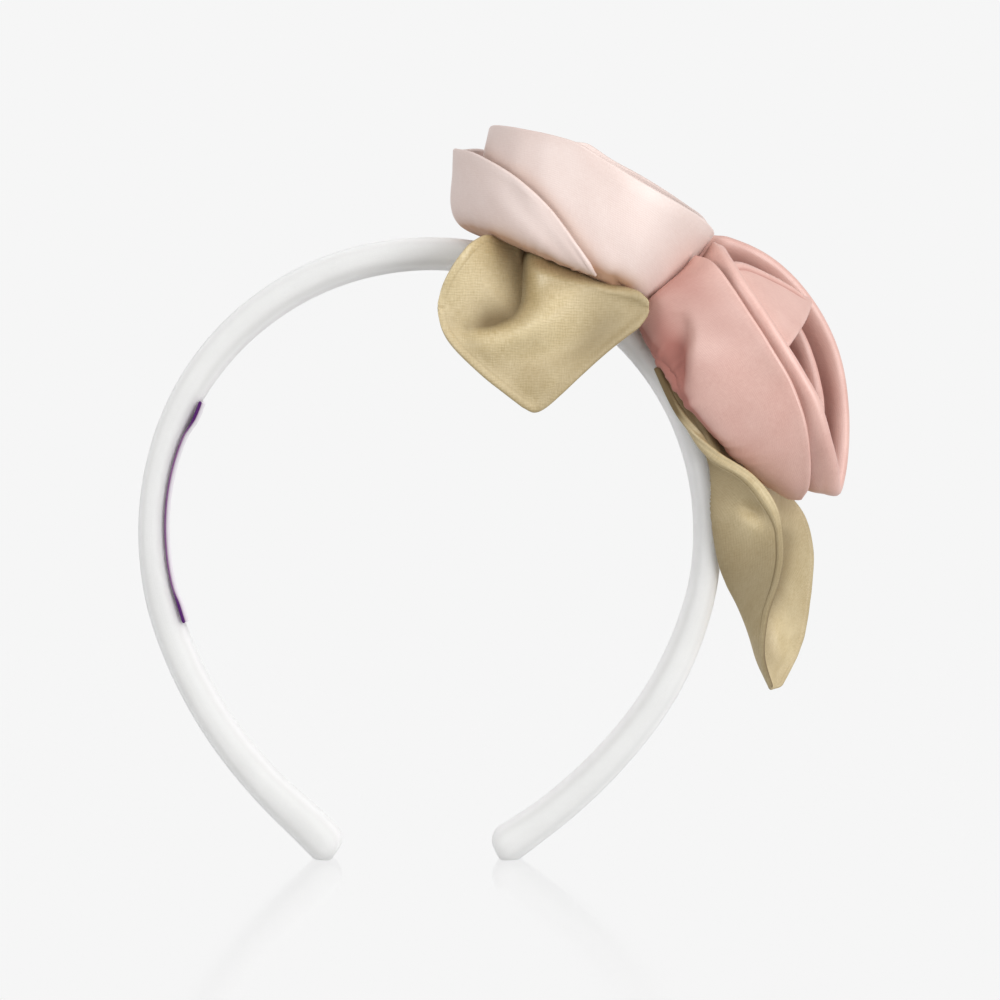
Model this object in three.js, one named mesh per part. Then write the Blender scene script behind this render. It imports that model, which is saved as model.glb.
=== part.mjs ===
// Flower headband: a padded satin hoop that stands on its two tips, with a pale and a dusty
// ribbon rose and two satin leaves on its upper right and a tape label inside its left side.
// Millimetres, +X to the right, +Y to the back, +Z up. The origin lies on the floor under
// the middle of the headband's outline. Tables are placed from the middle of the hoop.
import * as THREE from "three";

const RAD = Math.PI / 180;

// Hoop: a round crown and two flatter arms that lean in to the tips
const HOOP = { height: 79.2, crownRadius: 66.2, crownSweep: 107, depth: 13 };
const ARMS = {
  left: { side: -1, radius: 111, sweep: 37.2 },
  right: { side: 1, radius: 95, sweep: 46.3 },
};
// Padding from the left tip over the top to the right tip: thickness, and how far its middle
// lies outside the hoop's line
const PADDING_ROWS = [
  { angle: -144.2, thickness: 8.8, out: 1 },
  { angle: -139, thickness: 8.8, out: 0 },
  { angle: -132, thickness: 7.9, out: 0.2 },
  { angle: -122, thickness: 7.3, out: 0.6 },
  { angle: -110, thickness: 7, out: 0.7 },
  { angle: -96, thickness: 6.3, out: 0.5 },
  { angle: -78, thickness: 6.1, out: 0.4 },
  { angle: -58, thickness: 6.9, out: 0.2 },
  { angle: -36, thickness: 7.3, out: -0.1 },
  { angle: 0, thickness: 7.2, out: -0.4 },
  { angle: 36, thickness: 6.7, out: -0.2 },
  { angle: 66, thickness: 6.2, out: 0 },
  { angle: 90, thickness: 6.1, out: 0.1 },
  { angle: 104, thickness: 6.4, out: 0.5 },
  { angle: 118, thickness: 7.1, out: 0.6 },
  { angle: 134, thickness: 7.4, out: 0 },
  { angle: 146, thickness: 7.9, out: 0.3 },
  { angle: 153.3, thickness: 8.9, out: 1 },
];
// Rounding of the tips: how far from the tip, and the share of the full section there
const TIP_ROWS = [
  { from: 0, share: 0.3 },
  { from: 0.3, share: 0.56 },
  { from: 1, share: 0.76 },
  { from: 2.2, share: 0.92 },
  { from: 4, share: 1 },
];

// Cloth thicknesses and the gap left between pieces
const CLOTH = { petal: 1, leaf: 1.2, label: 0.8, gap: 0.35 };

// Label tape along the inside of the left side, its two ends lifted
const LABEL = { depth: 9 };
const LABEL_ROWS = [
  { angle: -61, lift: 1.2 },
  { angle: -69, lift: 0.1 },
  { angle: -82, lift: 0 },
  { angle: -94, lift: 0 },
  { angle: -102, lift: 0.2 },
  { angle: -110, lift: 1.3 },
];

// Roses: foot of the axis on the band, how far it tips right and how far it leans to the front
const PALE_ROSE = { x: 32.2, y: 0, z: 61.7, tip: 24, lean: 5 };
const DUSTY_ROSE = { x: 62.2, y: 5, z: 31.9, tip: 58, lean: 15 };

// Petals: one row per place round the rose, turning from its right end over the back.
// A petal runs from its foot round the heel up to the rim, each a reach and a height.
const PALE_OUTER = [
  { turn: 128, footR: 14, footH: 0.5, heelR: 23, heelH: 0.4, rimR: 25, rimH: 6 },
  { turn: 150, footR: 14, footH: 0.4, heelR: 27, heelH: -1.2, rimR: 31.5, rimH: 18.5 },
  { turn: 180, footR: 14, footH: 0.4, heelR: 30, heelH: -2.2, rimR: 36, rimH: 16.6 },
  { turn: 203, footR: 14, footH: 0.6, heelR: 27, heelH: -0.4, rimR: 32.5, rimH: 16.7 },
  { turn: 228, footR: 14, footH: 0.9, heelR: 23.5, heelH: 0.9, rimR: 28.3, rimH: 15.6 },
  { turn: 250, footR: 14, footH: 1.2, heelR: 22, heelH: 1.2, rimR: 25.2, rimH: 12.6 },
  { turn: 272, footR: 14, footH: 1.2, heelR: 20.6, heelH: 1.2, rimR: 22.6, rimH: 7.6 },
  { turn: 291, footR: 14, footH: 1.2, heelR: 19, heelH: 1.4, rimR: 20.4, rimH: 3.2 },
];
const PALE_MAIN = [
  { turn: 95, footR: 7, footH: 2, heelR: 18, heelH: 1.6, rimR: 21.5, rimH: 27 },
  { turn: 140, footR: 7, footH: 2, heelR: 22, heelH: 1.6, rimR: 25.5, rimH: 26 },
  { turn: 180, footR: 7, footH: 2, heelR: 26.5, heelH: 1.2, rimR: 30, rimH: 25.3 },
  { turn: 215, footR: 7, footH: 2, heelR: 23, heelH: 2, rimR: 27.3, rimH: 26.5 },
  { turn: 248, footR: 7, footH: 2, heelR: 20.6, heelH: 2.4, rimR: 24.6, rimH: 29 },
  { turn: 285, footR: 7, footH: 2, heelR: 20, heelH: 2, rimR: 24, rimH: 27.2 },
  { turn: 322, footR: 7, footH: 1.6, heelR: 21, heelH: 1.4, rimR: 26, rimH: 25.9 },
  { turn: 360, footR: 7, footH: 1.2, heelR: 23.2, heelH: 0.4, rimR: 29.2, rimH: 24.2 },
  { turn: 398, footR: 7, footH: 1.2, heelR: 21, heelH: 0.8, rimR: 25.8, rimH: 28 },
  { turn: 435, footR: 7, footH: 0.8, heelR: 20, heelH: 0.4, rimR: 24, rimH: 29.6 },
  { turn: 468, footR: 7.5, footH: 0.4, heelR: 20.5, heelH: 0.2, rimR: 24.4, rimH: 30.4 },
  { turn: 482, footR: 8, footH: 0.4, heelR: 20.5, heelH: 0.2, rimR: 23.6, rimH: 12 },
];
const PALE_INNER = [
  { turn: -235, footR: 2, footH: 3.2, heelR: 12, heelH: 3.4, rimR: 14, rimH: 23 },
  { turn: -180, footR: 2, footH: 3.2, heelR: 19.5, heelH: 3.2, rimR: 22, rimH: 24 },
  { turn: -135, footR: 2, footH: 3.2, heelR: 17, heelH: 3.6, rimR: 20.5, rimH: 25 },
  { turn: -90, footR: 2, footH: 3.2, heelR: 15.5, heelH: 3.6, rimR: 19.5, rimH: 26 },
  { turn: -45, footR: 2, footH: 3.2, heelR: 16.5, heelH: 3, rimR: 21, rimH: 25 },
  { turn: 0, footR: 2, footH: 3.2, heelR: 18.5, heelH: 2.4, rimR: 24.5, rimH: 23.4 },
  { turn: 40, footR: 2, footH: 3.2, heelR: 16, heelH: 2.6, rimR: 21.6, rimH: 26 },
  { turn: 80, footR: 2, footH: 3.2, heelR: 14.5, heelH: 2.8, rimR: 19.4, rimH: 27 },
  { turn: 118, footR: 2, footH: 3.2, heelR: 16, heelH: 3.2, rimR: 19, rimH: 26 },
];
const PALE_HEART = [
  { turn: 30, footR: 1.6, footH: 4.6, heelR: 2.6, heelH: 5.2, rimR: 3.4, rimH: 23 },
  { turn: 200, footR: 2.4, footH: 4.6, heelR: 4.4, heelH: 5.2, rimR: 5.6, rimH: 24 },
  { turn: 370, footR: 3.6, footH: 4.6, heelR: 6.4, heelH: 5.2, rimR: 8.4, rimH: 25 },
  { turn: 540, footR: 4.8, footH: 4.6, heelR: 9, heelH: 5.2, rimR: 12, rimH: 24 },
];
const DUSTY_FRONT = [
  { turn: 200, footR: 12, footH: 2.4, heelR: 23.6, heelH: -0.4, rimR: 29, rimH: 21.6 },
  { turn: 216, footR: 12, footH: 4, heelR: 31.5, heelH: 0, rimR: 28, rimH: 25 },
  { turn: 230, footR: 12, footH: 4.6, heelR: 25, heelH: -0.6, rimR: 25.4, rimH: 26 },
  { turn: 250, footR: 12, footH: 5, heelR: 20.8, heelH: -0.4, rimR: 23, rimH: 26.5 },
  { turn: 270, footR: 12, footH: 5, heelR: 20, heelH: -0.2, rimR: 22.2, rimH: 26.7 },
  { turn: 295, footR: 12, footH: 5, heelR: 21, heelH: 0.2, rimR: 23.2, rimH: 26.2 },
  { turn: 317, footR: 12, footH: 5, heelR: 24, heelH: 1.2, rimR: 26.8, rimH: 23.6 },
  { turn: 335, footR: 12, footH: 5, heelR: 28.5, heelH: 2.6, rimR: 31.2, rimH: 18.9 },
  { turn: 346, footR: 14, footH: 5.4, heelR: 32, heelH: 4.6, rimR: 34.2, rimH: 14.8 },
  { turn: 353, footR: 20, footH: 6, heelR: 33.4, heelH: 6, rimR: 35.6, rimH: 11.4 },
];
const DUSTY_RING = [
  { turn: 187, footR: 9, footH: 3.8, heelR: 19.5, heelH: 3.2, rimR: 28.4, rimH: 26.5 },
  { turn: 215, footR: 9, footH: 5, heelR: 19.4, heelH: 4, rimR: 25, rimH: 28.2 },
  { turn: 245, footR: 9, footH: 6, heelR: 17.8, heelH: 4.6, rimR: 20.6, rimH: 29.2 },
  { turn: 270, footR: 9, footH: 6.3, heelR: 17, heelH: 4.8, rimR: 19, rimH: 29.4 },
  { turn: 295, footR: 9, footH: 6.3, heelR: 17.8, heelH: 5, rimR: 20.2, rimH: 29.3 },
  { turn: 317, footR: 9, footH: 6.3, heelR: 20.4, heelH: 5.6, rimR: 24.2, rimH: 28.5 },
  { turn: 337, footR: 9, footH: 6.4, heelR: 25, heelH: 6.6, rimR: 30.5, rimH: 25 },
  { turn: 348, footR: 10, footH: 7, heelR: 29, heelH: 7.5, rimR: 35, rimH: 22.2 },
  { turn: 356, footR: 12, footH: 7.5, heelR: 32, heelH: 9, rimR: 39, rimH: 19 },
  { turn: 364, footR: 12, footH: 7, heelR: 32, heelH: 8.5, rimR: 39, rimH: 19.4 },
  { turn: 374, footR: 10, footH: 6, heelR: 28, heelH: 6, rimR: 34, rimH: 23.4 },
  { turn: 392, footR: 9, footH: 4.4, heelR: 21.5, heelH: 4.2, rimR: 26.6, rimH: 29 },
  { turn: 418, footR: 9, footH: 1.6, heelR: 17.4, heelH: 2.2, rimR: 21.6, rimH: 33 },
  { turn: 450, footR: 9, footH: -0.4, heelR: 16.8, heelH: 0.8, rimR: 20, rimH: 34.6 },
  { turn: 482, footR: 9, footH: -0.2, heelR: 18, heelH: 0.6, rimR: 22.4, rimH: 34 },
  { turn: 503, footR: 9, footH: 0.6, heelR: 20.5, heelH: 1, rimR: 27, rimH: 31 },
  { turn: 518, footR: 9, footH: 1.6, heelR: 22, heelH: 1.6, rimR: 33.4, rimH: 24.2 },
];
const DUSTY_INNER = [
  { turn: 200, footR: 2, footH: 7.8, heelR: 15, heelH: 6.4, rimR: 20.5, rimH: 25 },
  { turn: 235, footR: 2, footH: 7.8, heelR: 12.5, heelH: 7.4, rimR: 16, rimH: 25 },
  { turn: 270, footR: 2, footH: 7.8, heelR: 11, heelH: 7.8, rimR: 13.4, rimH: 25 },
  { turn: 310, footR: 2, footH: 7.8, heelR: 13.5, heelH: 7.8, rimR: 16.4, rimH: 24.4 },
  { turn: 340, footR: 2, footH: 7.8, heelR: 17, heelH: 8.6, rimR: 20.4, rimH: 24.4 },
  { turn: 360, footR: 2, footH: 7.8, heelR: 18.5, heelH: 9, rimR: 22, rimH: 24.7 },
  { turn: 380, footR: 2, footH: 7.8, heelR: 17, heelH: 8.4, rimR: 20.8, rimH: 25.9 },
  { turn: 412, footR: 2, footH: 7.4, heelR: 13, heelH: 6.2, rimR: 16.4, rimH: 28.6 },
  { turn: 450, footR: 2, footH: 7, heelR: 12.6, heelH: 4.6, rimR: 15.6, rimH: 29.8 },
  { turn: 490, footR: 2, footH: 7, heelR: 14.2, heelH: 4.2, rimR: 18, rimH: 30.6 },
  { turn: 522, footR: 2, footH: 7, heelR: 16.4, heelH: 4.8, rimR: 21.6, rimH: 30 },
  { turn: 548, footR: 2, footH: 7, heelR: 17, heelH: 6, rimR: 22, rimH: 24 },
];

// Folded petal of the dusty rose: rows from its foot up the front and over the mouth to its corner
const DUSTY_FOLD = [
  { leftX: -9, leftY: -12.4, leftH: 9, rightX: 4, rightY: -14.2, rightH: 9 },
  { leftX: -13, leftY: -12.6, leftH: 17, rightX: 4, rightY: -15.4, rightH: 17 },
  { leftX: -17.5, leftY: -12.8, leftH: 24, rightX: 3, rightY: -16.4, rightH: 25.4 },
  { leftX: -20.6, leftY: -10, leftH: 28, rightX: 1.6, rightY: -14.6, rightH: 29.6 },
  { leftX: -12.4, leftY: 3, leftH: 32.4, rightX: -0.8, rightY: 1, rightH: 33.1 },
  { leftX: -5.2, leftY: 15, leftH: 35.2, rightX: -3, rightY: 14.4, rightH: 35.2 },
];

// Front leaf: its middle, and upright sections from its left end to its right end. The upper
// edge is tucked back under the rose.
const FRONT_LEAF = { x: 26, y: -17.5, z: 49.5 };
const FRONT_LEAF_ROWS = [
  { x: -23.8, low: 0.4, top: 3.4, tuck: 0 },
  { x: -22.2, low: -4, top: 7.8, tuck: 0 },
  { x: -19.8, low: -7.2, top: 11.8, tuck: 0 },
  { x: -16.4, low: -10.6, top: 16.2, tuck: 0 },
  { x: -12.8, low: -13.8, top: 18.8, tuck: 3 },
  { x: -9.2, low: -16.6, top: 17.6, tuck: 3 },
  { x: -6.6, low: -18.6, top: 16.4, tuck: 1.5 },
  { x: -5, low: -19.8, top: 15.6, tuck: 0 },
  { x: -3.8, low: -20.6, top: 15.4, tuck: 4 },
  { x: -1.4, low: -21.6, top: 15.4, tuck: 9 },
  { x: 1.2, low: -20.6, top: 14.3, tuck: 9.4 },
  { x: 5, low: -17.4, top: 12.6, tuck: 9.4 },
  { x: 9.8, low: -12.9, top: 10.6, tuck: 9.4 },
  { x: 15, low: -8.2, top: 8.2, tuck: 8 },
  { x: 20, low: -4.2, top: 6, tuck: 3 },
  { x: 23.4, low: -1.8, top: 4.6, tuck: 0.6 },
  { x: 25.2, low: 0.2, top: 3.6, tuck: 0 },
];
// Folds of the front leaf: from a first end to a second, this wide to each side and this deep
// at each end
const FRONT_LEAF_FOLDS = [
  { x1: -4.2, z1: 20, x2: -4.8, z2: 1, left: 1.1, right: 6.5, start: 7.5, end: 0 },
  { x1: -6, z1: 5, x2: -20, z2: -3.5, left: 5, right: 5, start: 2.6, end: 0.4 },
  { x1: -24, z1: 4, x2: -15, z2: 19, left: 5, right: 5, start: -2, end: -1.5 },
  { x1: -9, z1: -6, x2: 18, z2: 3, left: 6.5, right: 6.5, start: -1.6, end: -1.2 },
];

// Side leaf: rows down its length with its front rim (fx, fy, fz), its keel along the band
// (kx, ky, kz) and its back rim (bx, by, bz)
const SIDE_LEAF = [
  { fx: 54.5, fy: -8.2, fz: 37.2, kx: 58.3, ky: -6.6, kz: 38.2, bx: 59.8, by: 0, bz: 37.8 },
  { fx: 59.9, fy: -9.4, fz: 24.6, kx: 65, ky: -6.4, kz: 26.2, bx: 67.4, by: 2, bz: 25.6 },
  { fx: 66.5, fy: -12, fz: 14.8, kx: 69.6, ky: -3, kz: 15.8, bx: 75, by: 7, bz: 16.6 },
  { fx: 74.5, fy: -15, fz: 9.1, kx: 70.4, ky: 1, kz: 9.1, bx: 84.2, by: 12, bz: 10.6 },
  { fx: 80.5, fy: -16, fz: 3.5, kx: 70.6, ky: 1, kz: 2.8, bx: 90.6, by: 14, bz: 3.2 },
  { fx: 82.6, fy: -16, fz: -4.7, kx: 70.6, ky: 1, kz: -6.5, bx: 92.9, by: 14, bz: -5.3 },
  { fx: 81.8, fy: -15, fz: -12.2, kx: 72, ky: 0, kz: -14.1, bx: 92.6, by: 14, bz: -15.1 },
  { fx: 79.3, fy: -12, fz: -21.3, kx: 75.6, ky: 0, kz: -21.6, bx: 90.9, by: 12, bz: -25 },
  { fx: 78.9, fy: -8, fz: -30, kx: 78.3, ky: 0, kz: -31.2, bx: 88.5, by: 8, bz: -31.1 },
  { fx: 81.4, fy: -2, fz: -37.7, kx: 81.6, ky: 0, kz: -38.4, bx: 84.2, by: 2, bz: -38 },
];

// Colours and finish of the five cloths
const CLOTHS = {
  band_satin: { color: 0xf0efed, roughness: 0.5 },
  label_tape: { color: 0x5a2d6e, roughness: 0.6 },
  pale_satin: { color: 0xead7d0, roughness: 0.45 },
  dusty_satin: { color: 0xdaada0, roughness: 0.45 },
  leaf_satin: { color: 0xc6b184, roughness: 0.5 },
};

// Smooth curve through four neighbouring values, at share f between the middle two
function smooth(a, b, c, d, f) {
  const bend = 2 * a - 5 * b + 4 * c - d;
  const lift = 3 * (b - c) + d - a;
  return b + 0.5 * f * (c - a + f * (bend + f * lift));
}

// The row of a table at share t of its length, every column on a smooth curve
function rowAt(rows, t) {
  const last = rows.length - 1;
  const place = Math.min(Math.max(t, 0), 1) * last;
  const start = Math.min(Math.floor(place), last - 1);
  const places = [start - 1, start, start + 1, start + 2];
  const near = places.map((i) => rows[Math.min(Math.max(i, 0), last)]);
  const row = {};
  for (const column of Object.keys(rows[0])) {
    row[column] = smooth(...near.map((r) => r[column]), place - start);
  }
  return row;
}

// Closed solid through a line of equal loops, each end closed by lacing the loop's two halves
function loft(loops) {
  const size = loops[0].length;
  const last = loops.length - 1;
  const faces = [];
  for (let j = 0; j < last; j += 1) {
    for (let k = 0; k < size; k += 1) {
      const a = j * size + k;
      const b = j * size + ((k + 1) % size);
      faces.push(a, b, a + size, b, b + size, a + size);
    }
  }
  for (let k = 0; k < size / 2 - 1; k += 1) {
    const far = size - 1 - k;
    const top = last * size;
    faces.push(k, far, k + 1);
    faces.push(top + k, top + k + 1, top + far);
    if (k + 1 < far - 1) {
      faces.push(k + 1, far, far - 1);
      faces.push(top + k + 1, top + far - 1, top + far);
    }
  }
  const corners = loops.flat().flatMap((point) => point.toArray());
  const geometry = new THREE.BufferGeometry();
  geometry.setAttribute("position", new THREE.Float32BufferAttribute(corners, 3));
  geometry.setIndex(faces);
  return turnOutward(geometry);
}

// Turn the faces round where the solid would be inside out
function turnOutward(geometry) {
  const corners = geometry.getAttribute("position");
  const index = geometry.getIndex();
  const [a, b, c] = [new THREE.Vector3(), new THREE.Vector3(), new THREE.Vector3()];
  let volume = 0;
  for (let i = 0; i < index.count; i += 3) {
    a.fromBufferAttribute(corners, index.getX(i));
    b.fromBufferAttribute(corners, index.getX(i + 1));
    c.fromBufferAttribute(corners, index.getX(i + 2));
    volume += a.dot(b.cross(c));
  }
  if (volume < 0) {
    geometry.setIndex(Array.from(index.array).reverse());
  }
  geometry.computeVertexNormals();
  return geometry;
}

// Direction square to a surface at (u, v)
function squareTo(surface, u, v) {
  const step = 0.002;
  const along = surface(Math.min(u + step, 1), v).sub(surface(Math.max(u - step, 0), v));
  const across = surface(u, Math.min(v + step, 1)).sub(surface(u, Math.max(v - step, 0)));
  return along.cross(across).normalize();
}

// Cloth wall along a surface, with rounded long edges
function clothWall(surface, thickness, stations, columns) {
  const loops = [];
  for (let j = 0; j <= stations; j += 1) {
    const u = j / stations;
    const near = [];
    const far = [];
    for (let k = 0; k <= columns; k += 1) {
      const v = k / columns;
      const point = surface(u, v);
      const away = squareTo(surface, u, v).multiplyScalar(thickness / 2);
      const edge = k === 0 || k === columns ? 0.55 : 1;
      near.push(point.clone().addScaledVector(away, edge));
      far.unshift(point.clone().addScaledVector(away, -edge));
    }
    loops.push([...near, ...far]);
  }
  return loft(loops);
}

// Point of a petal: turn round the rose by u, from the foot round the heel to the rim by v
function petalPoint(rows, u, v) {
  const row = rowAt(rows, u);
  const grip = 2;
  const foot = (1 - v) * (1 - v);
  const heel = 2 * grip * v * (1 - v);
  const rim = v * v;
  const whole = foot + heel + rim;
  const reach = (foot * row.footR + heel * row.heelR + rim * row.rimR) / whole;
  const height = (foot * row.footH + heel * row.heelH + rim * row.rimH) / whole;
  const turn = row.turn * RAD;
  return new THREE.Vector3(reach * Math.cos(turn), reach * Math.sin(turn), height);
}

// Centre line of the hoop at an angle from the top, and its outward direction
function hoopPoint(angle, outward) {
  const arm = angle < 0 ? ARMS.left : ARMS.right;
  const turn = Math.abs(angle);
  const start = HOOP.crownSweep * RAD;
  const inset = turn > HOOP.crownSweep ? HOOP.crownRadius - arm.radius : 0;
  const reach = (turn > HOOP.crownSweep ? arm.radius : HOOP.crownRadius) + outward;
  return new THREE.Vector3(
    arm.side * (inset * Math.sin(start) + reach * Math.sin(turn * RAD)),
    0,
    inset * Math.cos(start) + reach * Math.cos(turn * RAD),
  );
}

// The padding at an angle from the top
function paddingAt(angle) {
  const last = PADDING_ROWS.length - 1;
  const next = PADDING_ROWS.findIndex((r) => r.angle >= angle);
  const end = next < 0 ? last : Math.max(next, 1);
  const [a, b] = [PADDING_ROWS[end - 1].angle, PADDING_ROWS[end].angle];
  return rowAt(PADDING_ROWS, (end - 1 + (angle - a) / (b - a)) / last);
}

// Padded band: rounded sections along the hoop, swollen and rounded off at the tips
function bandGeometry() {
  const corners = 16;
  const middle = 56;
  const leftEnd = -(HOOP.crownSweep + ARMS.left.sweep);
  const rightEnd = HOOP.crownSweep + ARMS.right.sweep;
  const inset = TIP_ROWS[TIP_ROWS.length - 1].from;
  const first = leftEnd + inset / ARMS.left.radius / RAD;
  const last = rightEnd - inset / ARMS.right.radius / RAD;
  const stations = TIP_ROWS.map((r) => [leftEnd + r.from / ARMS.left.radius / RAD, r.share]);
  for (let j = 1; j < middle; j += 1) {
    stations.push([first + ((last - first) * j) / middle, 1]);
  }
  for (const r of [...TIP_ROWS].reverse()) {
    stations.push([rightEnd - r.from / ARMS.right.radius / RAD, r.share]);
  }
  return loft(stations.map(([angle, share]) => bandLoop(angle, share, corners)));
}

// One section of the band, flat where it rests on the floor
function bandLoop(angle, share, corners) {
  const padding = paddingAt(angle);
  const loop = [];
  for (let k = 0; k < corners; k += 1) {
    const turn = (2 * Math.PI * (k + 0.5)) / corners;
    const side = Math.sign(Math.cos(turn)) * Math.abs(Math.cos(turn)) ** 0.5;
    const rise = Math.sign(Math.sin(turn)) * Math.abs(Math.sin(turn)) ** 0.55;
    const point = hoopPoint(angle, padding.out + (rise * padding.thickness * share) / 2);
    point.y = (side * HOOP.depth * (0.6 + 0.4 * share)) / 2;
    point.z = Math.max(point.z, -HOOP.height);
    loop.push(point);
  }
  return loop;
}

// Label tape against the inside of the band
function labelGeometry() {
  return clothWall(
    (u, v) => {
      const row = rowAt(LABEL_ROWS, u);
      const padding = paddingAt(row.angle);
      const seat = padding.out - padding.thickness / 2 - CLOTH.gap - CLOTH.label / 2;
      const point = hoopPoint(row.angle, seat - row.lift);
      point.y = (v - 0.5) * LABEL.depth;
      return point;
    },
    CLOTH.label,
    18,
    2,
  );
}

// Front leaf: upright sections, each from the lower edge to the upper edge
function frontLeafGeometry() {
  return clothWall(
    (u, v) => {
      const row = rowAt(FRONT_LEAF_ROWS, u);
      const rise = row.low + (row.top - row.low) * v;
      const tuck = row.tuck * Math.max(0, (v - 0.8) / 0.2) ** 2;
      const depth = FRONT_LEAF.y + frontLeafDepth(row.x, rise) + tuck;
      return new THREE.Vector3(FRONT_LEAF.x + row.x, depth, FRONT_LEAF.z + rise);
    },
    CLOTH.leaf,
    36,
    8,
  );
}

// How far the front leaf dips to the back at a place from its middle
function frontLeafDepth(x, z) {
  let depth = 0;
  for (const fold of FRONT_LEAF_FOLDS) {
    const run = new THREE.Vector2(fold.x2 - fold.x1, fold.z2 - fold.z1);
    const from = new THREE.Vector2(x - fold.x1, z - fold.z1);
    const share = Math.min(Math.max(from.dot(run) / run.lengthSq(), 0), 1);
    const width = run.cross(from) > 0 ? fold.left : fold.right;
    const off = from.addScaledVector(run, -share).length() / width;
    const fade = share * share * (3 - 2 * share);
    depth += (fold.start + (fold.end - fold.start) * fade) * Math.exp(-off * off);
  }
  return depth;
}

// Side leaf: from its front rim round the keel to its back rim, row by row
function sideLeafGeometry() {
  return clothWall(
    (u, v) => {
      const row = rowAt(SIDE_LEAF, u);
      const front = new THREE.Vector3(row.fx, row.fy, row.fz);
      const keel = new THREE.Vector3(row.kx, row.ky, row.kz);
      const back = new THREE.Vector3(row.bx, row.by, row.bz);
      return new THREE.CatmullRomCurve3([front, keel, back]).getPoint(v);
    },
    CLOTH.leaf,
    30,
    10,
  );
}

// Folded petal of the dusty rose, from side to side along each row
function foldGeometry() {
  return clothWall(
    (u, v) => {
      const row = rowAt(DUSTY_FOLD, u);
      const left = new THREE.Vector3(row.leftX, row.leftY, row.leftH);
      const right = new THREE.Vector3(row.rightX, row.rightY, row.rightH);
      return left.lerp(right, v);
    },
    CLOTH.petal,
    20,
    4,
  );
}

// A petal as a cloth wall
function petalGeometry(rows, stations, columns) {
  return clothWall((u, v) => petalPoint(rows, u, v), CLOTH.petal, stations, columns);
}

// A named piece of cloth
function piece(name, geometry, cloth) {
  const material = new THREE.MeshStandardMaterial({ name: cloth, ...CLOTHS[cloth] });
  const mesh = new THREE.Mesh(geometry, material);
  mesh.name = name;
  return mesh;
}

// A rose: its pieces set on the band, tipped to the right and leaned to the front
function rose(name, place, pieces) {
  const group = new THREE.Group();
  group.name = name;
  group.position.set(place.x, place.y, place.z);
  group.rotation.set(place.lean * RAD, place.tip * RAD, 0, "YXZ");
  group.add(...pieces);
  return group;
}

const headband = new THREE.Group();
headband.name = "flower_headband";
headband.add(
  piece("band", bandGeometry(), "band_satin"),
  piece("label_tape", labelGeometry(), "label_tape"),
  piece("front_leaf", frontLeafGeometry(), "leaf_satin"),
  piece("side_leaf", sideLeafGeometry(), "leaf_satin"),
  rose("pale_rose", PALE_ROSE, [
    piece("pale_rose_outer_petal", petalGeometry(PALE_OUTER, 26, 6), "pale_satin"),
    piece("pale_rose_main_petal", petalGeometry(PALE_MAIN, 42, 6), "pale_satin"),
    piece("pale_rose_inner_petal", petalGeometry(PALE_INNER, 34, 4), "pale_satin"),
    piece("pale_rose_heart", petalGeometry(PALE_HEART, 36, 3), "pale_satin"),
  ]),
  rose("dusty_rose", DUSTY_ROSE, [
    piece("dusty_rose_front_petal", petalGeometry(DUSTY_FRONT, 26, 6), "dusty_satin"),
    piece("dusty_rose_ring_petal", petalGeometry(DUSTY_RING, 50, 6), "dusty_satin"),
    piece("dusty_rose_inner_petal", petalGeometry(DUSTY_INNER, 36, 4), "dusty_satin"),
    piece("dusty_rose_folded_petal", foldGeometry(), "dusty_satin"),
  ]),
);

// Set the origin on the floor under the middle of the outline
const outline = new THREE.Box3().setFromObject(headband, true);
const middle = outline.getCenter(new THREE.Vector3());
headband.position.set(-middle.x, -middle.y, -outline.min.z);
headband.updateMatrixWorld(true);

export default headband;
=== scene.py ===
"""Flower headband: padded satin hoop, two ribbon roses, two satin leaves and a label tape."""
import math

import bpy
import numpy as np
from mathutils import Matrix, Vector
from mathutils.kdtree import KDTree


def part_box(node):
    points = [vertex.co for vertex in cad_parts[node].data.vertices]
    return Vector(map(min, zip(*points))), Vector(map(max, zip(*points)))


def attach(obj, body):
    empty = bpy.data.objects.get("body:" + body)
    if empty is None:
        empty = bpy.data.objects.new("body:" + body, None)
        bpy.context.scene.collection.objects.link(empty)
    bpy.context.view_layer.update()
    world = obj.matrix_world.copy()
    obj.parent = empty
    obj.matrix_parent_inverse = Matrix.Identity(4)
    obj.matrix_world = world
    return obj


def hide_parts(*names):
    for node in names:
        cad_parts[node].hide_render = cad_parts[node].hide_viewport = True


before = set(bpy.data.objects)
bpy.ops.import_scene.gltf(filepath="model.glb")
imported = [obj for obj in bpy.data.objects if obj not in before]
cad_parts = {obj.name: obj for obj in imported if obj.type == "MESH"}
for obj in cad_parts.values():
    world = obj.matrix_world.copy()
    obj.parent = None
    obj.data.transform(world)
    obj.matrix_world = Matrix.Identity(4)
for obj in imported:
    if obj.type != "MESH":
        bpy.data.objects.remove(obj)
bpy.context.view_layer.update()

# Tables are in millimetres from the middle of the hoop, +X right, +Y back, +Z up
MM = 0.001
RAD = math.pi / 180
HOOP_HEIGHT = 79.2
BAND_LEFT = 69.707
band_low, band_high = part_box("band")
MIDDLE = np.array([
    band_low.x / MM + BAND_LEFT,
    (band_low.y + band_high.y) / 2 / MM,
    band_low.z / MM + HOOP_HEIGHT,
])
# Where the camera stands from the middle of the hoop
CAMERA_FROM_HOOP = np.array([16.6, -650, 6.7])

# Hoop: a round crown and two flatter arms that lean in to the tips
CROWN_RADIUS = 66.2
CROWN_SWEEP = 107
LEFT_ARM = {"radius": 111, "sweep": 37.2}
RIGHT_ARM = {"radius": 95, "sweep": 46.3}
# Section of the band: depth, power of its rounding, swelling beyond the padding, and way round it
BAND_DEPTH = 13
BAND_ROUNDING = 0.75
BAND_SWELL = 0.5
BAND_GIRTH = 38
BAND_STATIONS = 260
BAND_CORNERS = 48
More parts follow.
